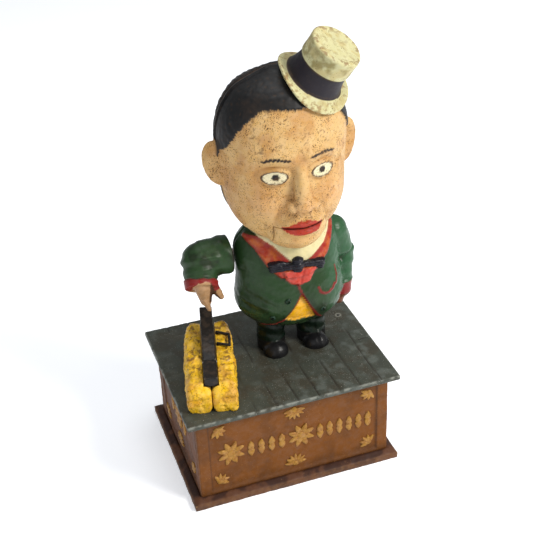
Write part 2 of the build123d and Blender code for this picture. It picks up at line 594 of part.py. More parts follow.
def bag_frame():
    """Fixed front part of the black bar, with a tongue down to the platform and two cheeks for the lid's pin."""
    bar = block(-3.8, 3.8, 3.0, 13.0, BED_H + 0.2, BAR_TOP)
    bar += block(-3.8, 3.8, 3.0, LID_HINGE[0] - 2.1, BAR_TOP - BAR_SKIN, BAR_TOP)
    for side in (-1, 1):
        cheek = block(2.9, 3.8, 12.0, LID_HINGE[0] + 2.4, BED_H + 0.2, LID_HINGE[1] + 1.5)
        cheek += block(2.9, 3.8, 12.0, LID_HINGE[0] - 2.1, BED_H + 0.2, BAR_TOP)
        bar += cheek if side > 0 else mirror(cheek, Plane.YZ)
    bar += block(-1.5, 1.5, 7.0, 13.0, 0.1, BED_H + 1)
    bar -= across(-5, 5, *LID_HINGE, LID_PIN_R)
    return on_bag(bar - upright(*FRAME_SCREW, -1, 7.0, 1.1))


def lid_pin():
    return on_bag(across(-4.1, 4.1, *LID_HINGE, LID_PIN_R))


def open_lid(shape):
    """Tips a shape that is drawn with the lid shut about the lid's pin, and puts it on the platform."""
    u, h = LID_HINGE
    return on_bag(Pos(0, u, h) * Rot(LID_OPEN, 0, 0) * Pos(0, -u, -h) * shape)


def bag_lid():
    """Moving part of the bar: an upturned channel with a forked tail ahead of its pin."""
    u, h = LID_HINGE
    lid = block(-3.6, 3.6, u - 0.6, LID_END, BAR_TOP - BAR_SKIN, BAR_TOP)
    for x0, x1 in ((-3.6, -2.6), (2.6, 3.6)):
        lid += block(x0, x1, u + 2.9, LID_END, h - 1.4, BAR_TOP)
    lid += block(-3.6, 3.6, LID_END - 1.0, LID_END, h - 1.4, BAR_TOP)
    lid += block(-2.5, 2.5, u - 1.4, u + 5.0, h - 1.0, BAR_TOP - 0.5) + across(-2.5, 2.5, u, h, 1.8)
    lid += block(-2.5, 2.5, u - LID_TAIL - 1.5, u, h - 0.9, h + 0.9)
    lid -= block(-1.2, 1.2, u - LID_TAIL - 2.2, u - LID_TAIL + 2.4, h - 3, h + 2.0)
    lid -= across(-5, 5, u, h, LID_PIN_R + 0.05)
    return open_lid(lid - across(-5, 5, u - LID_TAIL, h, TAIL_PIN_R))


def tail_pin():
    """Pin that joins the lid's tail to the rod."""
    return open_lid(across(-2.5, 2.5, LID_HINGE[0] - LID_TAIL, LID_HINGE[1], TAIL_PIN_R))


def bag_handle():
    return on_bag(handle_wire())


def bag_screws():
    """Five screws that come up through the platform into the bag's halves and the frame's tongue."""
    screws = []
    for v, u in BAG_SCREWS + (FRAME_SCREW,):
        screw = upright(v, u, -PLATFORM_T - 1.8, -PLATFORM_T, 2.4) + upright(v, u, -PLATFORM_T - 0.5, 6.0, 1.05)
        screw -= block(v - 4, v + 4, u - 0.35, u + 0.35, -PLATFORM_T - 3, -PLATFORM_T - 1.1)
        screws.append(on_bag(screw))
    return Compound(children=screws)


# ---- write one file for each sub-part -----------------------------------------------------------
def all_parts():
    """Every sub-part by its node's name."""
    whole_coat, whole_head = coat(), head()
    return {
        "base_plate": base_plate(), "coin_trap": coin_trap(), "platform": platform(),
        "front_panel": front_panel(), "back_panel": back_panel(),
        "left_panel": side_panel(90), "right_panel": side_panel(-90), "base_screws": base_screws(),
        "coat_front": coat_front(whole_coat), "coat_back": coat_back(whole_coat),
        "body_screw": long_screw(100.0, 28.4, -7.0), "figure_screws": figure_screws(),
        "head_front": head_front(whole_head), "head_back": head_back(whole_head),
        "head_screw": long_screw(205.0, 39.4, -7.0), "jaw": jaw(), "jaw_pin": jaw_pin(),
        "jaw_weight": jaw_weight(), "hat": hat(), "hat_stud": hat_stud(),
        "right_arm": right_arm(), "arm_axle": arm_axle(), "arm_crank": arm_crank(), "arm_link": arm_link(),
        "lever_shaft": lever_shaft(), "operating_lever": operating_lever(), "press_knob": press_knob(),
        "return_spring": return_spring(), "lid_rod": lid_rod(),
        "bag_left": bag_half(-1), "bag_right": bag_half(1), "bag_frame": bag_frame(), "bag_lid": bag_lid(),
        "lid_pin": lid_pin(), "tail_pin": tail_pin(), "bag_handle": bag_handle(), "bag_screws": bag_screws(),
    }


os.makedirs("parts", exist_ok=True)
for name, shape in all_parts().items():
    export_step(shape, f"parts/{name}.step")
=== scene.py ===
# %% [markdown]
# # A painted cast-iron mechanical bank
# An orator in a green coat stands on a plank platform over a coin box, beside an open yellow carpet bag.
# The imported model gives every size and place. This lesson dresses it: each casting gets its relief in mesh
# code, its paint as a colour attribute, and its age from one shader node group.

# %% Load the frame
import math
import bpy
import bmesh
import numpy as np
from mathutils import Matrix, Vector, noise


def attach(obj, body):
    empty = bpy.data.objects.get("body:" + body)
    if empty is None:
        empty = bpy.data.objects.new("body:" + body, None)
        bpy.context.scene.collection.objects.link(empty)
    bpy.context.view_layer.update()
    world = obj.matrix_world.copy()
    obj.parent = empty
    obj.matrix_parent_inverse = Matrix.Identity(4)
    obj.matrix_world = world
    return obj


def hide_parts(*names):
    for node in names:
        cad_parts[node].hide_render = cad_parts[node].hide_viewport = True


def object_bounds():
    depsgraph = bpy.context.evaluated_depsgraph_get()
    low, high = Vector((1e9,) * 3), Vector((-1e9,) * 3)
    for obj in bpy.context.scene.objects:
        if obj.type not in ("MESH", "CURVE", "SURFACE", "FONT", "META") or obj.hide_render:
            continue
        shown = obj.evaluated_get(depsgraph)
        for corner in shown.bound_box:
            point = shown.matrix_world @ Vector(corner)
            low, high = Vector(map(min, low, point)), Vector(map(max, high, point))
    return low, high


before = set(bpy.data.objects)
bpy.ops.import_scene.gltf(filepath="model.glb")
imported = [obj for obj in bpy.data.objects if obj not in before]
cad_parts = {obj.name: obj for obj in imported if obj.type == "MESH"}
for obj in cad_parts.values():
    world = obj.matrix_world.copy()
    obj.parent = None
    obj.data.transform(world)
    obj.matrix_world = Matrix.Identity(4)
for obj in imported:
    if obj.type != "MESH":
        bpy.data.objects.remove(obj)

MM = 0.001
cad_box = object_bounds()
print("CAD box in mm", [[round(value / MM, 1) for value in corner] for corner in cad_box])

# %% [markdown]
# ## Camera, floor and light
# The camera looks down on the bank from its right front, from a distance of about 0.6 m, with a long lens.
# It is placed by an azimuth, an elevation and a small roll about its own axis, so each can be changed alone.

# %% Camera
AZIMUTH, ELEVATION, ROLL = 18.13, 31.73, -2.461
LOOK_AT, DISTANCE, LENS = Vector((6.5, 0.0, 114.4)) * MM, 611.1 * MM, 70.2


def place_camera():
    az, el, roll = (math.radians(angle) for angle in (AZIMUTH, ELEVATION, ROLL))
    ahead = Vector((math.sin(az) * math.cos(el), math.cos(az) * math.cos(el), -math.sin(el)))
    right = Vector((math.cos(az), -math.sin(az), 0.0))
    up = right.cross(ahead)
    turned_right = right * math.cos(roll) + up * math.sin(roll)
    turned_up = up * math.cos(roll) - right * math.sin(roll)
    camera = bpy.data.objects.new("studio_camera", bpy.data.cameras.new("studio_camera"))
    bpy.context.scene.collection.objects.link(camera)
    place = Matrix((turned_right, turned_up, -ahead)).transposed().to_4x4()
    place.translation = LOOK_AT - ahead * DISTANCE
    camera.matrix_world = place
    camera.data.lens, camera.data.sensor_width = LENS, 36.0
    bpy.context.scene.camera = camera
    print("camera at", [round(value, 3) for value in place.translation])


place_camera()

# %% Floor and lights
def new_object(name, mesh):
    piece = bpy.data.objects.new(name, mesh)
    bpy.context.scene.collection.objects.link(piece)
    return piece


def plain_floor(half=3.0):
    mesh = bpy.data.meshes.new("pale_floor")
    mesh.from_pydata([(-half, -half, 0), (half, -half, 0), (half, half, 0), (-half, half, 0)], [],
                     [(0, 1, 2, 3)])
    floor = new_object("pale_floor", mesh)
    material = bpy.data.materials.new("pale_floor")
    material.use_nodes = True
    shader = material.node_tree.nodes["Principled BSDF"]
    shader.inputs["Base Color"].default_value = (0.93, 0.94, 0.96, 1)
    shader.inputs["Roughness"].default_value = 0.6
    shader.inputs["Emission Color"].default_value = (0.93, 0.96, 1.0, 1)
    shader.inputs["Emission Strength"].default_value = 0.4
    shader.inputs["Specular IOR Level"].default_value = 0.2
    mesh.materials.append(material)


def soft_light(name, place, aim, size, power, colour=(1, 1, 1)):
    lamp = bpy.data.lights.new(name, "AREA")
    lamp.shape, lamp.size, lamp.energy, lamp.color = "DISK", size, power, colour
    light = bpy.data.objects.new(name, lamp)
    bpy.context.scene.collection.objects.link(light)
    light.location = place
    light.rotation_euler = (Vector(aim) - Vector(place)).to_track_quat("-Z", "Y").to_euler()


def studio():
    world = bpy.data.worlds.new("studio_world")
    world.use_nodes = True
    background = world.node_tree.nodes["Background"]
    background.inputs["Color"].default_value = (0.93, 0.96, 1.0, 1)
    background.inputs["Strength"].default_value = 0.36
    bpy.context.scene.world = world
    middle = (0.0, 0.0, 0.12)
    soft_light("key_light", (0.75, -0.75, 0.95), middle, 0.5, 16.5, (1.0, 0.97, 0.92))
    soft_light("fill_light", (-0.9, -0.9, 0.6), middle, 0.9, 2.0)
    soft_light("top_light", (0.1, 0.2, 1.3), middle, 0.8, 5.0)
    bpy.context.scene.view_settings.view_transform = "Standard"


plain_floor()
studio()

# %% [markdown]
# ## Shape helpers
# Most castings start as a loft: a stack of closed rings. Organic ones are several lofts fused by a voxel
# remesh, which gives an even mesh that can then be pushed in and out, point by point, like clay.

# %% Meshes from rings
def loft_mesh(name, rings):
    """A closed mesh, in metres, through rings given in millimetres, with a point closing each end."""
    rings = np.asarray(rings, float)
    count, around = rings.shape[:2]
    points = np.vstack([rings.reshape(-1, 3), rings[0].mean(0), rings[-1].mean(0)]) * MM
    first, last = count * around, count * around + 1
    faces = []
    for ring in range(count - 1):
        for spoke in range(around):
            a, b = ring * around + spoke, ring * around + (spoke + 1) % around
            faces.append((a, b, b + around, a + around))
    for spoke in range(around):
        after = (spoke + 1) % around
        faces.append((after, spoke, first))
        faces.append(((count - 1) * around + spoke, (count - 1) * around + after, last))
    mesh = bpy.data.meshes.new(name)
    mesh.from_pydata(points.tolist(), [], faces)
    return outward(mesh)


def outward(mesh):
    shape = bmesh.new()
    shape.from_mesh(mesh)
    bmesh.ops.recalc_face_normals(shape, faces=shape.faces)
    shape.to_mesh(mesh)
    shape.free()
    mesh.shade_smooth()
    return mesh


def ellipse_rings(sections, centre_x, count, around, inset=0.0):
    """Rings through (z, half width, centre y, half depth), smoothed between the given heights."""
    table = np.array(sections, float)
    heights = table[0, 0] + (table[-1, 0] - table[0, 0]) * (1 - np.cos(np.linspace(0, math.pi, count))) / 2
    turns = np.linspace(0, 2 * math.pi, around, endpoint=False)
    rings = []
    for z in heights:
        half_w, y, half_d = (smooth_value(z, table[:, 0], table[:, column]) for column in (1, 2, 3))
        rings.append(np.column_stack([centre_x + (half_w - inset) * np.cos(turns),
                                      y + (half_d - inset) * np.sin(turns), np.full(around, z)]))
    return rings


def smooth_value(at, places, values):
    """A monotone-slope cubic through a few points."""
    slopes = np.gradient(values, places)
    index = int(np.clip(np.searchsorted(places, at) - 1, 0, len(places) - 2))
    width = places[index + 1] - places[index]
    t = np.clip((at - places[index]) / width, 0, 1)
    a, b = values[index], values[index + 1]
    return ((2 * t**3 - 3 * t**2 + 1) * a + (t**3 - 2 * t**2 + t) * width * slopes[index]
            + (3 * t**2 - 2 * t**3) * b + (t**3 - t**2) * width * slopes[index + 1])


def limb(start, end, start_r, end_r, around=28, steps=10):
    """A round-ended limb between two points, as rings."""
    start, end = np.array(start, float), np.array(end, float)
    along = end - start
    length = np.linalg.norm(along)
    along /= length
    side = np.cross(along, [0.31, 0.87, 0.38])
    side /= np.linalg.norm(side)
    other = np.cross(along, side)
    turns = np.linspace(0, 2 * math.pi, around, endpoint=False)
    stations = [(-start_r * math.cos(t), start_r * math.sin(t))
                for t in np.linspace(0.12, math.pi / 2, steps)]
    stations += [(length + end_r * math.sin(t), end_r * math.cos(t))
                 for t in np.linspace(0, math.pi / 2 - 0.12, steps)]
    return [start + along * far + radius * (np.cos(turns)[:, None] * side + np.sin(turns)[:, None] * other)
            for far, radius in stations]


def ball_rings(centre, radii, around=32, steps=17):
    turns = np.linspace(0, 2 * math.pi, around, endpoint=False)
    rings = []
    for tilt in np.linspace(-math.pi / 2 + 0.1, math.pi / 2 - 0.1, steps):
        flat = math.cos(tilt)
        rings.append(np.column_stack([centre[0] + radii[0] * flat * np.cos(turns),
                                      centre[1] + radii[1] * flat * np.sin(turns),
                                      np.full(around, centre[2] + radii[2] * math.sin(tilt))]))
    return rings


def plain_copy(piece):
    """The piece's mesh with every modifier applied; the piece itself is removed."""
    bpy.context.view_layer.update()
    mesh = bpy.data.meshes.new_from_object(piece.evaluated_get(bpy.context.evaluated_depsgraph_get()))
    name = piece.name
    bpy.data.objects.remove(piece)
    mesh.name = name
    return new_object(name, mesh)


def fuse(name, ring_sets, voxel, smoothing=4):
    """One even mesh out of several overlapping closed lofts."""
    shape = bmesh.new()
    for rings in ring_sets:
        shape.from_mesh(loft_mesh("part_of_" + name, rings))
    mesh = bpy.data.meshes.new(name)
    shape.to_mesh(mesh)
    shape.free()
    piece = new_object(name, mesh)
    remesh = piece.modifiers.new("remesh", "REMESH")
    remesh.mode, remesh.voxel_size = "VOXEL", voxel * MM
    smooth = piece.modifiers.new("smooth", "SMOOTH")
    smooth.factor, smooth.iterations = 0.5, smoothing
    piece = plain_copy(piece)
    piece.data.shade_smooth()
    print(name, len(piece.data.polygons), "faces")
    return piece

# %% [markdown]
# ## Clay work and paint
# A casting is shaped by moving points along their normals, by amounts that a small formula gives at each
# point. The same formulas say where each colour of paint goes, so relief and paint always agree.

# %% Formulas for relief and paint
def points_of(mesh):
    flat = np.empty(len(mesh.vertices) * 3)
    mesh.vertices.foreach_get("co", flat)
    return flat.reshape(-1, 3) / MM


def normals_of(mesh):
    flat = np.empty(len(mesh.vertices) * 3)
    mesh.vertices.foreach_get("normal", flat)
    return flat.reshape(-1, 3)


def set_points(mesh, points):
    """Give a mesh its points back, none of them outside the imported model's box."""
    inside = np.clip(points * MM, cad_box[0], cad_box[1])
    mesh.vertices.foreach_set("co", inside.ravel())
    mesh.update()


def hump(value, width):
    """1 at zero, falling smoothly on both sides."""
    return np.exp(-(np.asarray(value) / width) ** 2)


def step(value, low, high):
    """0 below low, 1 above high, smooth between."""
    t = np.clip((np.asarray(value) - low) / (high - low), 0, 1)
    return t * t * (3 - 2 * t)


def outline_distance(x, z, corners, closed=True):
    """Distance to a drawn line, negative inside when the line is closed."""
    nearest, inside = np.full(x.shape, 1e9), np.zeros(x.shape, bool)
    ends = corners[1:] + corners[:1] if closed else corners[1:]
    for (x0, z0), (x1, z1) in zip(corners, ends):
        along = np.clip(((x - x0) * (x1 - x0) + (z - z0) * (z1 - z0)) / ((x1 - x0)**2 + (z1 - z0)**2), 0, 1)
        nearest = np.minimum(nearest, np.hypot(x - x0 - along * (x1 - x0), z - z0 - along * (z1 - z0)))
        if closed and z0 != z1:
            inside ^= ((z0 > z) != (z1 > z)) & (x < (x1 - x0) * (z - z0) / (z1 - z0) + x0)
    return np.where(inside, -nearest, nearest) if closed else nearest


def rough_field(points, size, seed, octaves=3):
    """Smooth noise about zero, with features of a given size in millimetres."""
    shift = Vector((seed * 7.3, seed * 3.1, seed * 5.7))
    return np.array([noise.fractal(Vector(point) / size + shift, 0.9, 2.0, octaves) for point in points])


def convexity(mesh):
    """How far each point stands out from its neighbours, about -1 to 1."""
    points, normals = points_of(mesh), normals_of(mesh)
    edges = np.empty(len(mesh.edges) * 2, int)
    mesh.edges.foreach_get("vertices", edges)
    edges = edges.reshape(-1, 2)
    total, count = np.zeros_like(points), np.zeros(len(points))
    for a, b in ((0, 1), (1, 0)):
        np.add.at(total, edges[:, a], points[edges[:, b]])
        np.add.at(count, edges[:, a], 1)
    around = total / np.maximum(count, 1)[:, None]
    bend = ((points - around) * normals).sum(1)
    for _ in range(3):
        sums = np.zeros(len(points))
        for a, b in ((0, 1), (1, 0)):
            np.add.at(sums, edges[:, a], bend[edges[:, b]])
        bend = 0.4 * bend + 0.6 * sums / np.maximum(count, 1)
    return bend


def store(mesh, name, values):
    values = np.asarray(values, np.float32)
    kind = "FLOAT_COLOR" if values.ndim == 2 else "FLOAT"
    layer = mesh.attributes.new(name, kind, "POINT")
    if values.ndim == 2:
        values = np.column_stack([values, np.ones(len(values), np.float32)])
        layer.data.foreach_set("color", values.ravel())
    else:
        layer.data.foreach_set("value", values)


def finish_casting(piece, paint, full_wear=0.12, age=None):
    """Stores the paint's colour, and how exposed or sheltered each point is."""
    bend = convexity(piece.data)
    store(piece.data, "paint", paint)
    store(piece.data, "crest", np.clip(bend / full_wear, 0, 1))
    store(piece.data, "hollow", np.clip(-bend / full_wear, 0, 1))
    store(piece.data, "age", np.ones(len(bend)) if age is None else age)


# %% Paints
CREAM, GILT, WHITE = (0.7, 0.62, 0.34), (0.38, 0.19, 0.03), (0.78, 0.7, 0.45)
GREEN, DARK_GREEN, TROUSERS = (0.018, 0.048, 0.014), (0.006, 0.012, 0.003), (0.003, 0.01, 0.005)
RED, CUFF_RED = (0.42, 0.04, 0.015), (0.22, 0.012, 0.01)
NAVY, BLACK = (0.008, 0.008, 0.014), (0.008, 0.008, 0.009)
FLESH, LIP_RED, YELLOW = (0.66, 0.42, 0.165), (0.4, 0.03, 0.015), (0.85, 0.5, 0.015)
HAND, SLATE = (0.4, 0.23, 0.11), (0.052, 0.058, 0.045)
OCHRE, MAROON = (0.165, 0.05, 0.001), (0.048, 0.019, 0.012)


def coat_of(colour, count):
    return np.tile(np.array(colour, float), (count, 1))


def brush(paint, mask, colour):
    """Paints a colour over another where the mask is 1."""
    return paint + mask[:, None] * (np.array(colour) - paint)


# %% [markdown]
# ## One shader group for old paint
# Every finish on the bank is old oil paint on rough iron. The group takes a paint colour and how exposed a
# point is, and gives back the aged colour, the roughness and a height for the bump: large uneven patches,
# small dark specks that gather in clusters, dirt in the hollows, and bare metal on the crests.

# %% The old paint group
def old_paint_group():
    group = bpy.data.node_groups.new("Old Paint", "ShaderNodeTree")
    sockets = (("Paint", "NodeSocketColor", (0.5, 0.5, 0.5, 1)),
               ("Under", "NodeSocketColor", (0.03, 0.02, 0.015, 1)),
               ("Dirt", "NodeSocketColor", (0.06, 0.03, 0.012, 1)),
               ("Position", "NodeSocketVector", (0, 0, 0)),
               ("Crest", "NodeSocketFloat", 0.0), ("Hollow", "NodeSocketFloat", 0.0),
               ("Specks", "NodeSocketFloat", 0.5), ("Speck Size", "NodeSocketFloat", 1.0),
               ("Patches", "NodeSocketFloat", 0.5), ("Edge Wear", "NodeSocketFloat", 0.5),
               ("Gloss", "NodeSocketFloat", 0.5))
    for name, kind, value in sockets:
        group.interface.new_socket(name, in_out="INPUT", socket_type=kind).default_value = value
    for name, kind in (("Colour", "NodeSocketColor"), ("Roughness", "NodeSocketFloat"),
                       ("Height", "NodeSocketFloat")):
        group.interface.new_socket(name, in_out="OUTPUT", socket_type=kind)
    nodes, links = group.nodes, group.links
    given, result = nodes.new("NodeGroupInput"), nodes.new("NodeGroupOutput")

    def maths(operation, a, b=None, clamp=False):
        node = nodes.new("ShaderNodeMath")
        node.operation, node.use_clamp = operation, clamp
        for socket, value in zip(node.inputs, (a, b)):
            if value is None:
                continue
            if isinstance(value, (int, float)):
                socket.default_value = value
            else:
                links.new(value, socket)
        return node.outputs[0]

    def cloud(size_mm, detail, roughness, scale_by=None, distortion=0.0):
        node = nodes.new("ShaderNodeTexNoise")
        node.inputs["Scale"].default_value = 1.0 / (size_mm * MM)
        node.inputs["Detail"].default_value, node.inputs["Roughness"].default_value = detail, roughness
        node.inputs["Distortion"].default_value = distortion
        if scale_by is not None:
            links.new(maths("DIVIDE", 1.0 / (size_mm * MM), scale_by), node.inputs["Scale"])
        links.new(given.outputs["Position"], node.inputs["Vector"])
        return node.outputs["Fac"]

    def ramp(value, low, high):
        node = nodes.new("ShaderNodeMapRange")
        node.interpolation_type = "SMOOTHSTEP"
        for name, number in (("From Min", low), ("From Max", high)):
            if isinstance(number, (int, float)):
                node.inputs[name].default_value = number
            else:
                links.new(number, node.inputs[name])
        links.new(value, node.inputs["Value"])
        return node.outputs["Result"]

    def mix(factor, a, b):
        node = nodes.new("ShaderNodeMix")
        node.data_type = "RGBA"
        links.new(factor, node.inputs[0])
        links.new(a, node.inputs[6])
        links.new(b, node.inputs[7])
        return node.outputs[2]

    wide, middle, fine = cloud(14, 4, 0.6), cloud(3.2, 5, 0.65, distortion=0.4), cloud(0.75, 4, 0.6)
    tint = nodes.new("ShaderNodeHueSaturation")
    tint.inputs["Hue"].default_value = 0.5
    links.new(maths("ADD", 0.78, maths("MULTIPLY", wide, 0.42)), tint.inputs["Value"])
    links.new(maths("ADD", 0.8, maths("MULTIPLY", middle, 0.36)), tint.inputs["Saturation"])
    links.new(given.outputs["Paint"], tint.inputs["Color"])
    patch = maths("MULTIPLY",
                  ramp(maths("ADD", maths("MULTIPLY", wide, 0.55), maths("MULTIPLY", middle, 0.45)),
                                   0.47, 0.68), given.outputs["Patches"])
    dirt = maths("MAXIMUM", maths("MULTIPLY", given.outputs["Hollow"], 0.85), patch, clamp=True)
    stained = mix(maths("MULTIPLY", dirt, 0.75), tint.outputs["Color"], given.outputs["Dirt"])
    speck_noise = cloud(0.55, 3, 0.55, scale_by=given.outputs["Speck Size"])
    level = maths("SUBTRACT", 0.74,
                  maths("MULTIPLY", given.outputs["Specks"], maths("MULTIPLY", wide, 0.34)))
    specks = maths("MULTIPLY", ramp(speck_noise, level, maths("ADD", level, 0.035)),
                   ramp(middle, 0.36, 0.52))
    worn = ramp(maths("ADD", maths("MULTIPLY", given.outputs["Crest"], given.outputs["Edge Wear"]),
                      maths("MULTIPLY", maths("SUBTRACT", middle, 0.5), 0.7)), 0.42, 0.5)
    bare = maths("MAXIMUM", specks, worn, clamp=True)
    links.new(mix(bare, stained, given.outputs["Under"]), result.inputs["Colour"])
    rough = maths("ADD", maths("SUBTRACT", 0.72, maths("MULTIPLY", given.outputs["Gloss"], 0.5)),
                  maths("MULTIPLY", maths("SUBTRACT", middle, 0.4), 0.35))
    links.new(maths("ADD", rough, maths("MULTIPLY", bare, 0.16), clamp=True), result.inputs["Roughness"])
    height = maths("ADD", maths("MULTIPLY", fine, 0.22), maths("MULTIPLY", middle, 0.5))
    links.new(maths("SUBTRACT", height, maths("MULTIPLY", bare, 0.35)), result.inputs["Height"])
    return group


OLD_PAINT = old_paint_group()
print("group", OLD_PAINT.name, len(OLD_PAINT.nodes), "nodes")


# %% Materials from the group
def old_paint(name, colour=None, under=(0.03, 0.02, 0.015), dirt=(0.06, 0.03, 0.012), specks=0.5,
              speck_size=1.0,
              patches=0.4, edge=0.6, gloss=0.5, metal=0.0, relief=0.12, coat=0.0, shine=0.25):
    """A finish for one kind of casting; with no colour, it reads the paint stored on the mesh."""
    material = bpy.data.materials.new(name)
    material.use_nodes = True
    nodes, links = material.node_tree.nodes, material.node_tree.links
    shader = nodes["Principled BSDF"]
    aged = nodes.new("ShaderNodeGroup")
    aged.node_tree = OLD_PAINT
    place = nodes.new("ShaderNodeTexCoord")
    links.new(place.outputs["Object"], aged.inputs["Position"])
    if colour is None:
        links.new(attribute(nodes, "paint", "Color"), aged.inputs["Paint"])
        links.new(attribute(nodes, "crest", "Fac"), aged.inputs["Crest"])
        links.new(attribute(nodes, "hollow", "Fac"), aged.inputs["Hollow"])
    else:
        aged.inputs["Paint"].default_value = (*colour, 1)
        links.new(sharp_edges(nodes, links), aged.inputs["Crest"])
    aged.inputs["Under"].default_value = (*under, 1)
    aged.inputs["Dirt"].default_value = (*dirt, 1)
    for socket, value in (("Specks", specks), ("Speck Size", speck_size), ("Patches", patches),
                          ("Edge Wear", edge), ("Gloss", gloss)):
        aged.inputs[socket].default_value = value
    if colour is None:
        for socket, value in (("Specks", specks), ("Patches", patches)):
            share = nodes.new("ShaderNodeMath")
            share.operation = "MULTIPLY"
            share.inputs[1].default_value = value
            links.new(attribute(nodes, "age", "Fac"), share.inputs[0])
            links.new(share.outputs[0], aged.inputs[socket])
    bump = nodes.new("ShaderNodeBump")
    bump.inputs["Distance"].default_value = relief * MM
    bump.inputs["Strength"].default_value = 1.0
    links.new(aged.outputs["Height"], bump.inputs["Height"])
    links.new(bump.outputs["Normal"], shader.inputs["Normal"])
    links.new(aged.outputs["Colour"], shader.inputs["Base Color"])
    links.new(aged.outputs["Roughness"], shader.inputs["Roughness"])
    shader.inputs["Metallic"].default_value = metal
    shader.inputs["Specular IOR Level"].default_value = shine
    shader.inputs["Coat Weight"].default_value = coat
    shader.inputs["Coat Roughness"].default_value = 0.25
    return material


def attribute(nodes, name, output):
    node = nodes.new("ShaderNodeAttribute")
    node.attribute_name = name
    return node.outputs[output]


def sharp_edges(nodes, links):
    """Edges of a plain machined or cast part, from the mesh's own pointiness."""
    geometry, spread = nodes.new("ShaderNodeNewGeometry"), nodes.new("ShaderNodeMapRange")
    spread.inputs["From Min"].default_value, spread.inputs["From Max"].default_value = 0.5, 0.62
    links.new(geometry.outputs["Pointiness"], spread.inputs["Value"])
    return spread.outputs["Result"]


def dress(piece, material, body, slot, *nodes):
    """Gives a finished piece its material and its body, and hides the CAD nodes that it stands for; the slot
    argument is not used.
    """
    if material is not None:
        piece.data.materials.clear()
        piece.data.materials.append(material)
    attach(piece, body)
    if nodes:
        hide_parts(*nodes)
    return piece


# %% [markdown]
# ## The head
# The real head is two hollow castings joined over the crown, with a loose jaw in front. Here a few lofts are
# fused for the skull, ears and nose, the features are pushed out of the even mesh, and only then is it cut
# into its castings, so that the seams run through a single surface. The face is a plain calm one.

# %% Head shape
FACE_X, SEAM_Y, MOUTH_Z = 17.5, 12.5, 153.6
HEAD = ((138, 15, 8.5, 15.5), (147, 26, 8, 22), (158, 32.5, 9, 26), (170, 34.5, 11, 28), (182, 35, 12, 29),
        (195, 36, 12, 30), (208, 34.5, 12.5, 29), (218, 30, 13, 26), (226, 22, 13, 19), (231, 10, 13, 9))
HAIRLINE = ((-60, 176), (-37, 190), (-34.9, 195.8), (-29.4, 206.6), (-23.9, 213.6), (-17.5, 218.5),
            (-10.8, 219.1), (0.9, 218.1), (12, 219), (18.5, 218), (24.9, 213), (30.4, 206), (35.9, 195),
            (60, 176))


def head_rings():
    return [face_oval(z) for z in np.concatenate([[136.2], np.linspace(138, 231, 40), [232.6]])]


def face_oval(z):
    table = np.array(HEAD, float)
    half_w, y, half_d = (smooth_value(np.clip(z, 138, 231), table[:, 0], table[:, c]) for c in (1, 2, 3))
    if z < 138 or z > 231:
        half_w, half_d = half_w * 0.62, half_d * 0.62
    turns = np.linspace(0, 2 * math.pi, 72, endpoint=False)
    return np.column_stack([FACE_X + half_w * np.cos(turns), y + half_d * np.sin(turns), np.full(72, z)])


def ear_rings(side):
    """A shallow dish of an ear: an egg leaning back from the cheek."""
    rings = ball_rings((0, 0, 0), (8.2, 3.6, 13.5), 28, 15)
    lean, tilt = math.radians(side * 24), math.radians(side * 10)
    turn = Matrix.Rotation(lean, 3, "Z") @ Matrix.Rotation(tilt, 3, "Y")
    middle = Vector((FACE_X + side * 37.0, 12.5, 184.5))
    return [np.array([turn @ Vector(point) + middle for point in ring]) for ring in rings]


def build_head():
    sets = [head_rings(), ball_rings((FACE_X, -4.0, 150.0), (18.6, 17.0, 15.0)),
            limb((FACE_X, -15.8, 189), (FACE_X, -21.0, 170), 3.2, 4.8),
            ball_rings((FACE_X, -21.4, 168.4), (5.6, 5.4, 4.8))]
    sets += [ball_rings((FACE_X + side * 5.8, -18.6, 166.4), (3.5, 4.2, 3.3)) for side in (-1, 1)]
    sets += [ear_rings(-1), ear_rings(1)]
    sets += [limb((FACE_X + side * 3, -15.8, 193.2), (FACE_X + side * 19, -11.6, 194), 2.8, 2.4)
             for side in (-1, 1)]
    return fuse("head", sets, 0.72, 5)


def hair_mask(points):
    """1 where hair covers the head, with an uneven front edge."""
    x, y, z = points.T
    across = x - FACE_X
    line = np.interp(across, [c[0] for c in HAIRLINE], [c[1] for c in HAIRLINE])
    line += 0.3 * np.sin(across * 1.9) + 0.3 * np.sin(across * 5.3 + 1)
    front = step(z - line, -0.5, 0.5)
    ear_side = step(y, 15.0, 16.0) * step(z, 141, 145)
    above_ear = step(z, 196.5, 198) * step(y, 3, 6)
    ears = step(np.abs(across), 37.2, 38.2) * (z < 199)
    return np.clip(np.maximum(np.maximum(front, ear_side), above_ear) - ears, 0, 1)


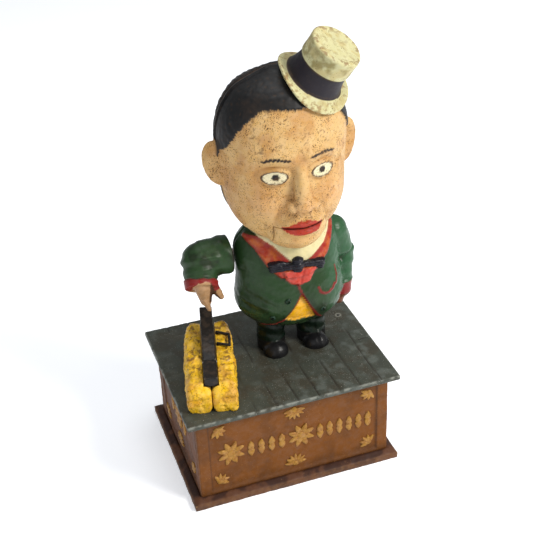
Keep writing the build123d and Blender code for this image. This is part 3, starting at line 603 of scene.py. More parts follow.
def shape_face(piece):
    points, normals = points_of(piece.data), normals_of(piece.data)
    x, y, z = points.T
    side, front = np.abs(x - FACE_X), step(-normals[:, 1], 0.0, 0.5) * step(-y, -6, 4)
    ahead = -3.0 * hump(side - 13.5, 8) * hump(z - 183, 6.2)
    ahead += 1.2 * hump(side - 12, 10) * hump(z - 194, 3) - 0.8 * hump(x - FACE_X, 3) * hump(z - 191, 3)
    eye = 1 - ((side - 13.5) / 6.6) ** 2 - ((z - 183) / 4.9) ** 2
    ahead += 2.6 * np.sqrt(np.clip(eye, 0, 1)) * (y < 0)
    lid = np.sqrt(((side - 13.5) / 7.2) ** 2 + ((z - 183) / np.where(z > 183, 4.4, 3.9)) ** 2)
    ahead += 1.0 * hump(lid - 1, 0.17) - 0.7 * hump(lid - 1.42, 0.16) * (z > 183)
    cheek = 1.9 * hump(side - 18.5, 9) * hump(z - 168, 9)
    smile_line = 1.0 * hump(side - 11.2 - (167 - z) * 0.32, 1.5) * hump(z - 161, 7)
    ahead += cheek - smile_line
    ahead += 1.7 * hump(side, 12) * hump(z - 156, 6) - 0.7 * hump(x - FACE_X, 1.7) * hump(z - 159.6, 2.6)
    ahead += lip_bulge(side, z)
    ahead -= 1.7 * hump(side - 3.6, 1.5) * hump(z - 163.6, 1.2)
    ahead += 1.3 * hump(side, 8) * hump(z - 140.5, 4.5) - 0.9 * hump(side, 9) * hump(z - 146.6, 1.6)
    points[:, 1] -= ahead * front
    hair = hair_mask(points)
    strands = np.sin(y * 2.6 + 0.5 * np.sin(z / 4)) * hump(y - 17, 4.5)
    strands = strands + 0.5 * np.sin(x * 1.8 + z * 0.4) * step(y, 18, 22)
    outwards = hair * (1.2 + 0.28 * strands) + 0.7 * hump(y - SEAM_Y - 0.9, 1.0) * hair
    outwards -= 1.1 * hump(y - SEAM_Y, 0.4) * (side < 36)
    ear = (side > 36.3) * (z > 168) * (z < 202)
    outwards -= ear * 1.9 * step(-normals[:, 1], 0.5, 0.8) * hump(side - 38.6, 3.0) * hump(z - 185.5, 8.5)
    points += normals * (outwards + 0.16 * rough_field(points, 2.2, 4))[:, None]
    set_points(piece.data, points)


def lip_bulge(side, z):
    width = step(-side, -12.2, -8.5)
    upper = 1.5 * hump(z - 155.9 - 0.5 * hump(side - 3, 2.5), 1.25)
    lower = 1.6 * hump(z - 151.2, 1.5)
    return (upper + lower - 1.0 * hump(z - MOUTH_Z, 0.6)) * width


def paint_head(points):
    x, y, z = points.T
    side = np.abs(x - FACE_X)
    face = (y < 2).astype(float)
    paint = coat_of(FLESH, len(points))
    blush = hump(side - 20, 9) * hump(z - 168, 9) + hump(side, 7) * hump(z - 168, 5)
    paint = brush(paint, 0.28 * blush * face, (0.66, 0.24, 0.09))
    stain = step(rough_field(points, 13, 9, 5), -0.35, 0.75)
    paint = brush(paint, 0.8 * stain, (0.5, 0.25, 0.075))
    # Painted shade: the sides of the head are painted a darker brown, more so toward the jaw.
    paint = brush(paint, 0.5 * step(side, 22, 34) * step(-z, -214, -150), (0.5, 0.25, 0.07))
    soot = step(rough_field(points, 1.5, 12, 3), 0.3, 0.55) * step(rough_field(points, 11, 13, 3), 0.0, 0.4)
    paint = brush(paint, 0.65 * soot, (0.13, 0.06, 0.022))
    almond = ((side - 13.5) / 6.3) ** 2 + ((z - 183) / 3.5) ** 2
    paint = brush(paint, face * step(-almond, -1.35, -1.22), (0.07, 0.035, 0.02))
    paint = brush(paint, face * step(-almond, -0.98, -0.86), WHITE)
    pupil = np.hypot(side - 13.2, z - 183.2)
    paint = brush(paint, face * step(-pupil, -2.1, -1.8), BLACK)
    strokes = 0.5 + 0.5 * np.sin(side * 3.1 + z * 1.4)
    brow = hump(z - 192.6 - 1.6 * hump(side - 14, 6), 1.3) * step(side, 4.5, 6) * step(-side, -22.5, -19)
    paint = brush(paint, face * step(brow * (0.65 + 0.5 * strokes), 0.45, 0.62), (0.02, 0.014, 0.01))
    top_lip = (z > MOUTH_Z) & (z < 157.2 + 0.5 * hump(side - 3, 2.5) - (side / 12.0) ** 2 * 3.0)
    low_lip = (z <= MOUTH_Z) & (z > 149.6 + (side / 11.0) ** 2 * 3.3)
    paint = brush(paint, face * (top_lip | low_lip) * (side < 11.5), LIP_RED)
    paint = brush(paint, face * hump(z - MOUTH_Z, 0.35) * (side < 12), (0.03, 0.008, 0.006))
    paint = brush(paint, face * hump(side - 3.7, 1.1) * hump(z - 163.6, 0.9), (0.05, 0.02, 0.012))
    paint = brush(paint, (z < 137.5) * 1.0, CREAM)
    return brush(paint, hair_mask(points), (0.009, 0.009, 0.0095))


def cut_box(name, low, high):
    mesh = bpy.data.meshes.new(name)
    shape = bmesh.new()
    bmesh.ops.create_cube(shape, size=1.0)
    for corner in shape.verts:
        corner.co = Vector([(a + b) / 2 + c * (b - a) for a, b, c in zip(low, high, corner.co)]) * MM
    shape.to_mesh(mesh)
    shape.free()
    return new_object(name, mesh)


def cut(piece, tool, operation):
    """A copy of the piece cut with a closed tool; both originals stay."""
    result = new_object(piece.name + "_cut", piece.data.copy())
    knife = result.modifiers.new("knife", "BOOLEAN")
    knife.object, knife.operation, knife.solver = tool, operation, "EXACT"
    return plain_copy(result)


def split_casting(piece, y, names):
    """The two halves of a casting, in front of and behind a plane, each closed again."""
    halves = []
    for name, keep_back in zip(names, (False, True)):
        shape = bmesh.new()
        shape.from_mesh(piece.data)
        got = bmesh.ops.bisect_plane(shape, geom=shape.verts[:] + shape.edges[:] + shape.faces[:],
                                     dist=1e-7,
                                     plane_co=(0, y * MM, 0), plane_no=(0, 1, 0),
                                     clear_outer=not keep_back, clear_inner=keep_back)
        rim = [item for item in got["geom_cut"] if isinstance(item, bmesh.types.BMEdge)]
        bmesh.ops.triangle_fill(shape, edges=rim, use_beauty=True, normal=(0, -1 if keep_back else 1, 0))
        bmesh.ops.recalc_face_normals(shape, faces=shape.faces)
        mesh = bpy.data.meshes.new(name)
        shape.to_mesh(mesh)
        shape.free()
        mesh.shade_smooth()
        halves.append(new_object(name, mesh))
    bpy.data.objects.remove(piece)
    return halves


# %% Head, cut into its castings
JAW_HALF_W, JAW_BACK_Y, SOCKET_BACK_Y = 14.8, -6.5, 3.0
SOCKET_HALF_W = 15.25


def make_head():
    whole = build_head()
    shape_face(whole)
    jaw_tool = cut_box("jaw_tool", (FACE_X - JAW_HALF_W, -60, 100),
                       (FACE_X + JAW_HALF_W, JAW_BACK_Y, MOUTH_Z - 0.15))
    socket_tool = cut_box("socket_tool", (FACE_X - SOCKET_HALF_W, -60, 100),
                          (FACE_X + SOCKET_HALF_W, SOCKET_BACK_Y, MOUTH_Z + 0.2))
    jaw, head = cut(whole, jaw_tool, "INTERSECT"), cut(whole, socket_tool, "DIFFERENCE")
    jaw.name = "jaw_casting"
    for tool in (whole, jaw_tool, socket_tool):
        bpy.data.objects.remove(tool)
    front, back = split_casting(head, SEAM_Y, ("face_casting", "hair_casting"))
    for piece in (jaw, front, back):
        points = points_of(piece.data)
        paint = paint_head(points)
        x, y, z = points.T
        inside = (np.abs(x - FACE_X) < 15.3) & (z < MOUTH_Z + 0.25) & (y > 1.0)
        if piece is not jaw:
            paint = brush(paint, (inside & (y < 6)) * 1.0, BLACK)
        finish_casting(piece, paint, age=1 - 0.9 * hair_mask(points))
    return front, back, jaw


head_paint = old_paint("aged_flesh_and_hair", under=(0.035, 0.018, 0.01), dirt=(0.36, 0.16, 0.04),
                       specks=0.85,
                       speck_size=1.0, patches=0.4, edge=0.28, gloss=0.55)
face_casting, hair_casting, jaw_casting = make_head()
dress(face_casting, head_paint, "root", "flesh_paint", "head_front")
dress(hair_casting, head_paint, "root", "hair_paint", "head_back")
dress(jaw_casting, head_paint, "jaw", "flesh_paint", "jaw")
print("head", [len(piece.data.polygons) for piece in (face_casting, hair_casting, jaw_casting)], "faces")


# %% [markdown]
# ## Coat, trousers and shoes
# The body is two castings, with the left arm, trousers and shoes cast on. The cloth is only suggested: flat
# lapels, a cravat, creases and a turned edge, all about a millimetre high, then picked out in colour. So each
# one is an outline drawn on the front of the figure, used once as relief and once as paint.

# %% Coat shape
PLATFORM_TOP = 61.5
COAT = ((83, 20.5, 7, 15), (86, 26, 7.5, 18), (92, 31, 8, 21.5), (99, 33, 8, 22.5), (108, 32, 8.5, 21.5),
        (118, 31, 9.5, 20), (128, 31.5, 11, 18.5), (136, 29.5, 12, 16), (143, 23, 12.5, 13.5))
LAPELS = ((-11, 141), (-5.2, 134.4), (0, 125.1), (2.7, 121.8), (6.9, 117.7), (16.7, 117.0), (28.2, 118.5),
          (30.5, 120.6), (36.4, 125.1), (39.6, 130.2), (45, 141))
COLLAR = ((-5, 143), (4.8, 136), (11.6, 128.4), (16.5, 123), (25.6, 127.1), (34.5, 132.2), (42.5, 143))
CRAVAT = ((8.6, 121.5), (9.4, 116.6), (12.4, 113.6), (16.9, 112.4), (23.2, 113.6), (26.8, 117.6),
          (27.6, 121.5))
VEST = ((17.8, 106.4), (7.2, 90.6), (12.6, 88.8), (18.2, 89.6), (25.6, 89.0))
LEFT_EDGE = ((15.6, 113.6), (17.9, 106.6), (22.4, 97.5), (27.3, 89.5), (30.4, 85.6))
RIGHT_EDGE = ((17.8, 106.4), (12.0, 97.5), (7.0, 90.4), (2.5, 86.6), (-3, 84.9), (-12, 84.6))
POCKET = ((28.4, 108.2), (29.2, 105.4), (31.4, 103.7), (34.6, 103.1), (37.8, 104.2), (39.6, 106.2))
ARM_EDGE = ((40.6, 105.5), (41.7, 110), (41.4, 115.6))


def round_leg(x):
    turns = np.linspace(0, 2 * math.pi, 40, endpoint=False)
    sections = ((57, 8.4, 8.2), (66, 8.4, 8.2), (74, 8.0, 8.0), (83, 8.6, 8.6), (91, 9.2, 9.2))
    return [np.column_stack([x + half_w * np.cos(turns), 8 + half_d * np.sin(turns), np.full(40, z)])
            for z, half_w, half_d in sections]


def trim(piece, place, normal):
    """Cuts away what lies beyond a plane, and closes the cut. Place in millimetres."""
    shape = bmesh.new()
    shape.from_mesh(piece.data)
    got = bmesh.ops.bisect_plane(shape, geom=shape.verts[:] + shape.edges[:] + shape.faces[:], dist=1e-7,
                                 plane_co=Vector(place) * MM, plane_no=normal, clear_outer=True)
    rim = [item for item in got["geom_cut"] if isinstance(item, bmesh.types.BMEdge)]
    bmesh.ops.triangle_fill(shape, edges=rim, use_beauty=True, normal=normal)
    bmesh.ops.recalc_face_normals(shape, faces=shape.faces)
    shape.to_mesh(piece.data)
    shape.free()
    piece.data.shade_smooth()


def build_coat():
    sets = [ellipse_rings(COAT, FACE_X, 44, 80), round_leg(4.9), round_leg(30.1)]
    sets += [ball_rings((x, -0.4, PLATFORM_TOP + 0.4), (7.6, 7.6, 6.9)) for x in (4.9, 30.1)]
    sets += [limb((46.5, 13, 128.5), (52.6, 14, 112), 9.4, 8.2),
             limb((52.6, 14, 112), (50.6, 9.4, 97), 8.0, 6.6),
             limb((50.3, 9, 95.5), (50.0, 8.4, 91.5), 6.9, 6.7),
             limb((50, 8.2, 91), (47.8, 7.2, 85), 5.0, 3.8)]
    piece = fuse("coat", sets, 0.72, 4)
    trim(piece, (0, 0, PLATFORM_TOP + 0.05), (0, 0, -1))
    return piece


def shape_coat(piece):
    points, normals = points_of(piece.data), normals_of(piece.data)
    x, y, z = points.T
    front = step(-normals[:, 1], 0.05, 0.4) * (y < 10) * (x < 45.5)
    lapel, collar = (outline_distance(x, z, line) for line in (LAPELS, COLLAR))
    cravat, vest = (outline_distance(x, z, line) for line in (CRAVAT, VEST))
    left_edge, right_edge = (outline_distance(x, z, line, False) for line in (LEFT_EDGE, RIGHT_EDGE))
    out = 1.3 * step(-lapel, -0.5, 0.7) + 0.8 * step(-collar, -0.4, 0.6)
    out += 1.2 * step(-cravat, -0.5, 0.8) * (1 + 0.25 * np.sin(x * 0.9))
    out -= 1.5 * step(-vest, -0.6, 0.6)
    over = step(x - np.interp(z, [85, 89.5, 97.5, 106.6, 113.6], [30.4, 27.3, 22.4, 17.9, 15.6]), -0.2, 0.7)
    out += 0.7 * over * step(-z, -116, -109) * (x < 44)
    out += 0.5 * hump(left_edge, 0.8) + 0.45 * hump(right_edge, 0.8)
    pocket, arm_edge = (outline_distance(x, z, line, False) for line in (POCKET, ARM_EDGE))
    out += 0.7 * hump(pocket, 0.9) + 0.4 * hump(arm_edge, 0.7)
    creases = np.sin(x * 0.42 + z * 0.55 + 2.2 * np.sin(z * 0.12)) * hump(z - 101, 10) * step(-x, -12, 10)
    out += 0.55 * creases + 0.5 * np.sin((x + z) * 0.5) * step(-x, 4, 16) * hump(z - 122, 8)
    moved = front * out
    sleeve = step(x, 42, 45) * step(z, 97, 99)
    folds = 0.5 * np.sin(z * 0.75 + y * 0.25) * hump(z - 113, 8)
    pinch = 0.9 * hump(z - 111.5 - (x - 48) * 0.5, 1.1)
    moved += sleeve * (folds - pinch)
    moved += 0.7 * step(x, 43, 45) * hump(z - 97.2, 1.0)
    moved -= 1.2 * hump(y - SEAM_Y, 0.4) * (z > 62)
    trousers = step(-z, -83.5, -82)
    moved += trousers * 0.4 * hump(z - 69.4, 0.7) + trousers * 0.3 * np.sin(z * 0.9 + x * 0.3) * (z > 70)
    moved += 0.16 * rough_field(points, 2.4, 5) + 0.25 * rough_field(points, 9, 6, 2)
    points += normals * (moved * (z > PLATFORM_TOP + 0.3))[:, None]
    set_points(piece.data, points)


def paint_coat(points):
    x, y, z = points.T
    front = (y < 9) & (x < 45.5)
    paint = coat_of(GREEN, len(points))
    shade = step(rough_field(points, 13, 12), -0.15, 0.45)
    paint = brush(paint, 0.75 * shade * step(-z, -118, -92), DARK_GREEN)
    # Painted light: the coat's side toward the key light, past x 30, is painted a lighter green.
    paint = brush(paint, 0.35 * step(x, 30, 44), (0.04, 0.17, 0.08))
    # Painted shade: the lower front of the coat on the figure's right side, below z 96, is painted near black.
    paint = brush(paint, 0.6 * step(-z, -96, -86) * step(-x, -16, 0), (0.012, 0.014, 0.008))
    lapel, collar = (outline_distance(x, z, line) for line in (LAPELS, COLLAR))
    cravat, vest = (outline_distance(x, z, line) for line in (CRAVAT, VEST))
    mottled = rough_field(points, 5, 14)
    red = coat_of(RED, len(points)) + step(mottled, -0.2, 0.4)[:, None] * np.array((0.14, 0.09, 0.01))
    mask = front * step(-lapel, -0.15, 0.25)
    paint = paint + mask[:, None] * (red - paint)
    paint = brush(paint, 0.75 * mask * hump(lapel + 0.3, 1.1), CUFF_RED)
    paint = brush(paint, 0.6 * mask * hump(collar - 1.6, 1.2), (0.25, 0.01, 0.02))
    paint = brush(paint, front * step(-cravat, -0.2, 0.25), (0.52, 0.055, 0.035))
    paint = brush(paint, 0.6 * front * (cravat < 0) * hump(x - 18.4 - (z - 115) * 0.3, 0.7), CUFF_RED)
    paint = brush(paint, front * step(-collar, -0.15, 0.2), CREAM)
    paint = brush(paint, front * step(-vest, -0.25, 0.1), (0.8, 0.4, 0.012))
    left_edge, right_edge = (outline_distance(x, z, line, False) for line in (LEFT_EDGE, RIGHT_EDGE))
    pocket, arm_edge = (outline_distance(x, z, line, False) for line in (POCKET, ARM_EDGE))
    uneven = 0.12 * mottled
    for distance, width in ((left_edge, 0.62), (right_edge, 0.6), (pocket, 0.75), (arm_edge, 0.4)):
        paint = brush(paint, front * step(-distance + uneven, -width - 0.2, -width + 0.15),
                      (0.2, 0.012, 0.01))
    trousers = step(-z, -84.4, -83.4) * (np.abs(x - 47.5) > 9)
    paint = brush(paint, trousers, TROUSERS)
    paint = brush(paint, step(-z, -69.4, -68.8) * (x < 42), BLACK)
    cuff, hand = step(-z, -97.6, -97.0) * (x > 43.8), step(-z, -89.6, -89.0) * (x > 42)
    paint = brush(paint, cuff, CUFF_RED)
    return brush(paint, hand, (0.16, 0.06, 0.03))


coat = build_coat()
shape_coat(coat)
coat_front_half, coat_back_half = split_casting(coat, SEAM_Y, ("coat_front_casting", "coat_back_casting"))
coat_paint = old_paint("satin_coat_enamel", under=(0.012, 0.01, 0.008), dirt=(0.02, 0.017, 0.01),
                       specks=0.3,
                       speck_size=1.2, patches=0.35, edge=0.5, gloss=0.85, relief=0.1)
for half, node in ((coat_front_half, "coat_front"), (coat_back_half, "coat_back")):
    finish_casting(half, paint_coat(points_of(half.data)))
    dress(half, coat_paint, "root", "green_paint", node)
    print(half.name, len(half.data.polygons), "faces")

# %% [markdown]
# ## Bow tie and buttons
# The tie stands well clear of the shirt, so it is its own small casting here: two lumpy wings and a round
# knot. Buttons repeat, so a Geometry Nodes tree turns one dished button and puts it at every marked point.

# %% Bow tie
def surface_y(x, z, sections=COAT):
    """How far forward the plain body casting reaches at a place on its front."""
    table = np.array(sections, float)
    half_w, y, half_d = (smooth_value(z, table[:, 0], table[:, c]) for c in (1, 2, 3))
    return y - half_d * math.sqrt(max(0.0, 1 - ((x - FACE_X) / half_w) ** 2))


def make_tie():
    front = surface_y(FACE_X, 125)
    sets = [ball_rings((16.6, front - 2.6, 126.3), (3.4, 2.9, 4.4)),
            ball_rings((16.4, front - 2.2, 122.6), (3.6, 2.4, 2.4))]
    for side, tip_x, tip_z in ((-1, 2.6, 125.9), (1, 31.0, 123.2)):
        tip_y = surface_y(tip_x, tip_z)
        sets.append(limb((16.6 + side * 2.5, front - 2.3, 125.4), (tip_x, tip_y - 1.9, tip_z), 1.7, 2.6))
        sets.append(limb((16.6 + side * 5, front - 2.0, 124.4),
                         (tip_x + side * 0.4, tip_y - 1.5, tip_z - 2.4), 1.6, 2.0))
    tie = fuse("bow_tie", sets, 0.42, 3)
    points, normals = points_of(tie.data), normals_of(tie.data)
    folds = 0.35 * np.sin(points[:, 2] * 2.4 + np.abs(points[:, 0] - 16.6)
                          * 0.3) + 0.3 * rough_field(points, 2.2, 21)
    set_points(tie.data, points + normals * folds[:, None])
    finish_casting(tie, coat_of(NAVY, len(points)))
    return tie


tie_paint = old_paint("navy_black_enamel", under=(0.05, 0.05, 0.05), dirt=(0.02, 0.02, 0.02), specks=0.15,
                      patches=0.1, edge=0.25, gloss=0.8, relief=0.08)
dress(make_tie(), tie_paint, "root", "black_paint")


# %% Geometry Nodes helper
class Tree:
    """A small helper that adds nodes and links to one Geometry Nodes tree."""

    def __init__(self, name, sizes):
        self.group = bpy.data.node_groups.new(name, "GeometryNodeTree")
        face = self.group.interface
        face.new_socket("Points", in_out="INPUT", socket_type="NodeSocketGeometry")
        for size, kind, value in sizes:
            socket = face.new_socket(size, in_out="INPUT", socket_type="NodeSocket" + kind)
            if value is not None:
                socket.default_value = value
        face.new_socket("Result", in_out="OUTPUT", socket_type="NodeSocketGeometry")
        self.given = self.group.nodes.new("NodeGroupInput").outputs

    def add(self, kind, inputs=None, **settings):
        node = self.group.nodes.new(kind)
        for name, value in settings.items():
            setattr(node, name, value)
        for key, value in (inputs or {}).items():
            socket = node.inputs[key]
            if isinstance(value, bpy.types.NodeSocket):
                self.group.links.new(value, socket)
            else:
                socket.default_value = value
        return node

    def maths(self, operation, a, b=0.0):
        return self.add("ShaderNodeMath", {0: a, 1: b}, operation=operation).outputs[0]

    def vector(self, x=0.0, y=0.0, z=0.0):
        return self.add("ShaderNodeCombineXYZ", {"X": x, "Y": y, "Z": z}).outputs[0]

    def join(self, *parts):
        node = self.add("GeometryNodeJoinGeometry")
        for part in parts:
            self.group.links.new(part, node.inputs[0])
        return node.outputs[0]

    def moved(self, geometry, place, turn=(0, 0, 0), size=(1, 1, 1)):
        return self.add("GeometryNodeTransform",
                        {"Geometry": geometry, "Translation": place, "Rotation": turn,
                                                  "Scale": size}).outputs[0]

    def finish(self, geometry):
        whole = self.add("GeometryNodeRealizeInstances", {"Geometry": geometry})
        smooth = self.add("GeometryNodeSetShadeSmooth", {"Geometry": whole.outputs[0]})
        painted = self.add("GeometryNodeSetMaterial",
                           {"Geometry": smooth.outputs[0], "Material": self.given["Material"]})
        end = self.group.nodes.new("NodeGroupOutput")
        self.group.links.new(painted.outputs[0], end.inputs[0])
        return self.group


def grow(name, tree, places, turns, **sizes):
    """Runs a tree on marked points, each with its own turn, and keeps the result as a plain mesh."""
    mesh = bpy.data.meshes.new(name)
    mesh.from_pydata([Vector(place) * MM for place in places], [], [])
    layer = mesh.attributes.new("turn", "FLOAT_VECTOR", "POINT")
    layer.data.foreach_set("vector", np.asarray(turns, np.float32).ravel())
    piece = new_object(name, mesh)
    modifier = piece.modifiers.new("grow", "NODES")
    modifier.node_group = tree
    for item in tree.interface.items_tree:
        if item.in_out == "INPUT" and item.name.replace(" ", "_").lower() in sizes:
            modifier[item.identifier] = sizes[item.name.replace(" ", "_").lower()]
    piece = plain_copy(piece)
    piece.data.shade_smooth()
    print(name, len(places), "places,", len(piece.data.polygons), "faces")
    return piece


def on_each_point(tree, instance):
    turn = tree.add("GeometryNodeInputNamedAttribute", {"Name": "turn"}, data_type="FLOAT_VECTOR")
    cloud = tree.add("GeometryNodeMeshToPoints", {"Mesh": tree.given["Points"]})
    return tree.add("GeometryNodeInstanceOnPoints", {"Points": cloud.outputs[0], "Instance": instance,
                                                     "Rotation": turn.outputs[0]}).outputs[0]


def facing(direction, roll=0.0):
    """Euler turn that points a part's own Z along a direction, after a roll about that Z, in degrees."""
    quaternion = Vector(direction).to_track_quat("Z", "Y")
    return tuple((quaternion.to_matrix() @ Matrix.Rotation(math.radians(roll), 3, "Z")).to_euler())


# %% Buttons
def button_tree():
    tree = Tree("Dished Button",
                (("Radius", "Float", 1.3 * MM), ("Height", "Float", 0.7 * MM),
                 ("Material", "Material", None)))
    radius, height = tree.given["Radius"], tree.given["Height"]
    dome = tree.add("GeometryNodeMeshUVSphere", {"Segments": 24, "Rings": 12, "Radius": 1.0}).outputs[0]
    body = tree.moved(dome, (0, 0, 0), size=tree.vector(radius, radius, height))
    hollow = tree.moved(dome, tree.vector(0.0, 0.0, tree.maths("MULTIPLY", height, 1.15)),
                        size=tree.vector(tree.maths("MULTIPLY", radius, 0.62),
                                         tree.maths("MULTIPLY", radius, 0.62),
                                         tree.maths("MULTIPLY", height, 0.55)))
    dished = tree.add("GeometryNodeMeshBoolean", {"Mesh 1": body, "Mesh 2": hollow}, operation="DIFFERENCE")
    return tree.finish(on_each_point(tree, dished.outputs[0]))


def on_coat(x, z, lift):
    return (x, surface_y(x, z) - lift, z)


BUTTONS = button_tree()
button_paint = old_paint("black_button_enamel", (0.006, 0.006, 0.007), specks=0.1, patches=0.1, edge=0.0,
                         gloss=0.8)
small = grow("vest_buttons", BUTTONS,
             [on_coat(17.8, 100.3, -1.1), on_coat(18.1, 93.3, -1.1), on_coat(17.6, 110.6, 0.5)],
             [facing((0, -1, 0.05))] * 3, radius=1.2 * MM, height=0.8 * MM, material=button_paint)
dress(small, None, "root", "black_paint")
large = grow("coat_buttons", BUTTONS,
             [on_coat(9.3, 103.6, 0.2), on_coat(0.6, 92.6, 0.2), on_coat(30.6, 93.0, 0.7)],
             [facing((0, -1, 0.05)), facing((-0.4, -1, -0.1)), facing((0.3, -1, -0.1))],
             radius=1.7 * MM, height=0.8 * MM, material=coat_paint)
store(large.data, "paint", coat_of((0.006, 0.025, 0.012), len(large.data.vertices)))
dress(large, None, "root", "green_paint")


# %% [markdown]
# ## Right arm
# The arm is a loose casting that turns at the shoulder: a thick bent sleeve, a dark red cuff and a long flat
# hand. It rides on its own body, so it swings with the mechanism.

# %% Arm
ELBOW, CUFF = Vector((-33.5, 11.5, 126.5)), Vector((-36.0, 4.5, 115.5))
PALM = ((-41.8, 118.5), (-39.5, 121.5), (-35, 122), (-32, 120.5), (-29.5, 113), (-26, 112), (-24, 100),
        (-40, 92))


def frustum(start, end, start_r, end_r, around=36):
    """A cone piece with small rounded rims, as rings."""
    start, end = np.array(start, float), np.array(end, float)
    along = (end - start) / np.linalg.norm(end - start)
    side = np.cross(along, [0.31, 0.87, 0.38])
    side /= np.linalg.norm(side)
    other, length = np.cross(along, side), np.linalg.norm(end - start)
    turns = np.linspace(0, 2 * math.pi, around, endpoint=False)
    stations = ((0, start_r - 0.7), (0.2, start_r - 0.2), (0.8, start_r),
                (length / 2, (start_r + end_r) / 2),
                (length - 0.8, end_r), (length - 0.2, end_r - 0.2), (length, end_r - 0.7))
    return [start + along * far + radius * (np.cos(turns)[:, None] * side + np.sin(turns)[:, None] * other)
            for far, radius in stations]


def build_arm():
    sets = [frustum((-16.5, 12.5, 127.5), (-33.5, 12.0, 127.0), 11.3, 11.0),
            ball_rings(ELBOW, (11.0, 11.0, 11.0), 40, 21),
            frustum((-33.4, 11.8, 127), CUFF, 10.6, 9.3),
            frustum((-35.3, 6.6, 118.6), (-36.4, 2.2, 114.2), 9.9, 9.5)]
    sets += [limb((-36.6, 1.2, 117), (-33.6, 5.4, 104), 4.6, 3.4),
             limb((-34.2, 1.6, 116.6), (-33.0, 5.0, 104.5), 4.2, 2.8)]
    for finger in range(4):
        base = (-35.4 + 0.5 * finger, 1.6 + 2.1 * finger, 107)
        tip = (-32.6 + 0.35 * finger, 3.3 + 1.75 * finger, 98.1 + 0.5 * abs(finger - 1.3))
        sets.append(limb(base, tip, 1.9, 1.35))
    sets += [limb((-30.0, 2.2, 115.5), (-26.6, 3.3, 108.5), 3.0, 2.4),
             limb((-26.6, 3.5, 108.5), (-25.0, 3.7, 105.4), 2.2, 1.7)]
    return fuse("right_arm_casting", sets, 0.55, 3)


def along_forearm(points):
    axis = np.array((CUFF - ELBOW).normalized())
    return (points - np.array(ELBOW)) @ axis


def shape_arm(piece):
    points, normals = points_of(piece.data), normals_of(piece.data)
    x, _, z = points.T
    far = along_forearm(points)
    sleeve = step(-far, -9.5, -8)
    crease = 0.7 * np.sin(far * 0.95 + x * 0.12) * hump(far - 2, 6) * step(-x, 22, 28)
    crease += 0.35 * np.sin((x + 0.6 * z) * 0.75) * step(x, -30, -24)
    moved = 0.75 * sleeve * crease - 0.8 * hump(far - 10.2, 0.55) * (x > -50)
    moved += 0.08 * rough_field(points, 2.2, 31) + 0.15 * rough_field(points, 9, 32, 2)
    points += normals * (moved * (x < -17.3))[:, None]
    set_points(piece.data, points)


def paint_arm(points):
    far = along_forearm(points)
    x, y, z = points.T
    paint = coat_of(GREEN, len(points))
    paint = brush(paint, 0.7 * step(rough_field(points, 10, 33), -0.1, 0.4), DARK_GREEN)
    paint = brush(paint, step(far + 0.25 * np.sin(x), 10.0, 10.3) * (z < 124), CUFF_RED)
    hand = (far > 14.6) & (z < 112.5) | (far > 12) & (outline_distance(x, z, PALM) < 0) & (y < 4.5)
    paint = brush(paint, hand * 1.0, HAND)
    inside = hand & (x > -32.6) & (x < -28.4 + 0.5 * (110 - z).clip(0, 8)) & (y < 30) & (z > 104)
    paint = brush(paint, inside * 0.9, (0.035, 0.01, 0.008))
    return brush(paint, step(x, -17.4, -17.0), (0.02, 0.015, 0.01))


right_arm = build_arm()
shape_arm(right_arm)
finish_casting(right_arm, paint_arm(points_of(right_arm.data)))
sleeve_paint = old_paint("sleeve_and_hand_enamel", under=(0.03, 0.015, 0.01), dirt=(0.03, 0.02, 0.01),
                         specks=0.45,
                         patches=0.15, edge=0.3, gloss=0.65, relief=0.08)
dress(right_arm, sleeve_paint, "arm", "green_paint", "right_arm")

# %% [markdown]
# ## The hat
# A turned shape: one profile swept round the hat's own tilted axis. The sides of the brim are curled up
# afterwards by lifting each ring's points by how far out and how far to the side they lie.

# %% Hat
HAT_AT, HAT_AXIS = Vector((32.5, 3.8, 225.9)), Vector((0.40, -0.415, 0.818)).normalized()
BAND_FOOT, BAND_TOP = 2.9, 14.4
HAT_PROFILE = ((4, 0), (12, 0), (17, 0.05), (19.5, 0.1), (20.7, 0.45), (21.4, 1.1), (21.5, 1.7),
               (21.1, 2.3), (20.3, 2.5),
               (19, 2.4), (17.6, 2.4), (16.6, 2.7), (16.0, 3.6), (15.6, 5.2), (14.9, 7.6), (14.35, 10),
               (14.1, 12.2),
               (13.95, 14.1), (14.1, 14.4), (14.5, 14.7), (14.6, 16), (14.5, 19), (14.6, 23),
               (14.75, 25.2), (14.6, 26.2),
               (14.0, 26.9), (12.8, 27.15), (10.5, 26.85), (6, 26.8), (2, 26.9))


def hat_frame():
    side = (Vector((1, 0, 0)) - HAT_AXIS * HAT_AXIS.x).normalized()
    return np.array(side), np.array(HAT_AXIS.cross(side)), np.array(HAT_AXIS)


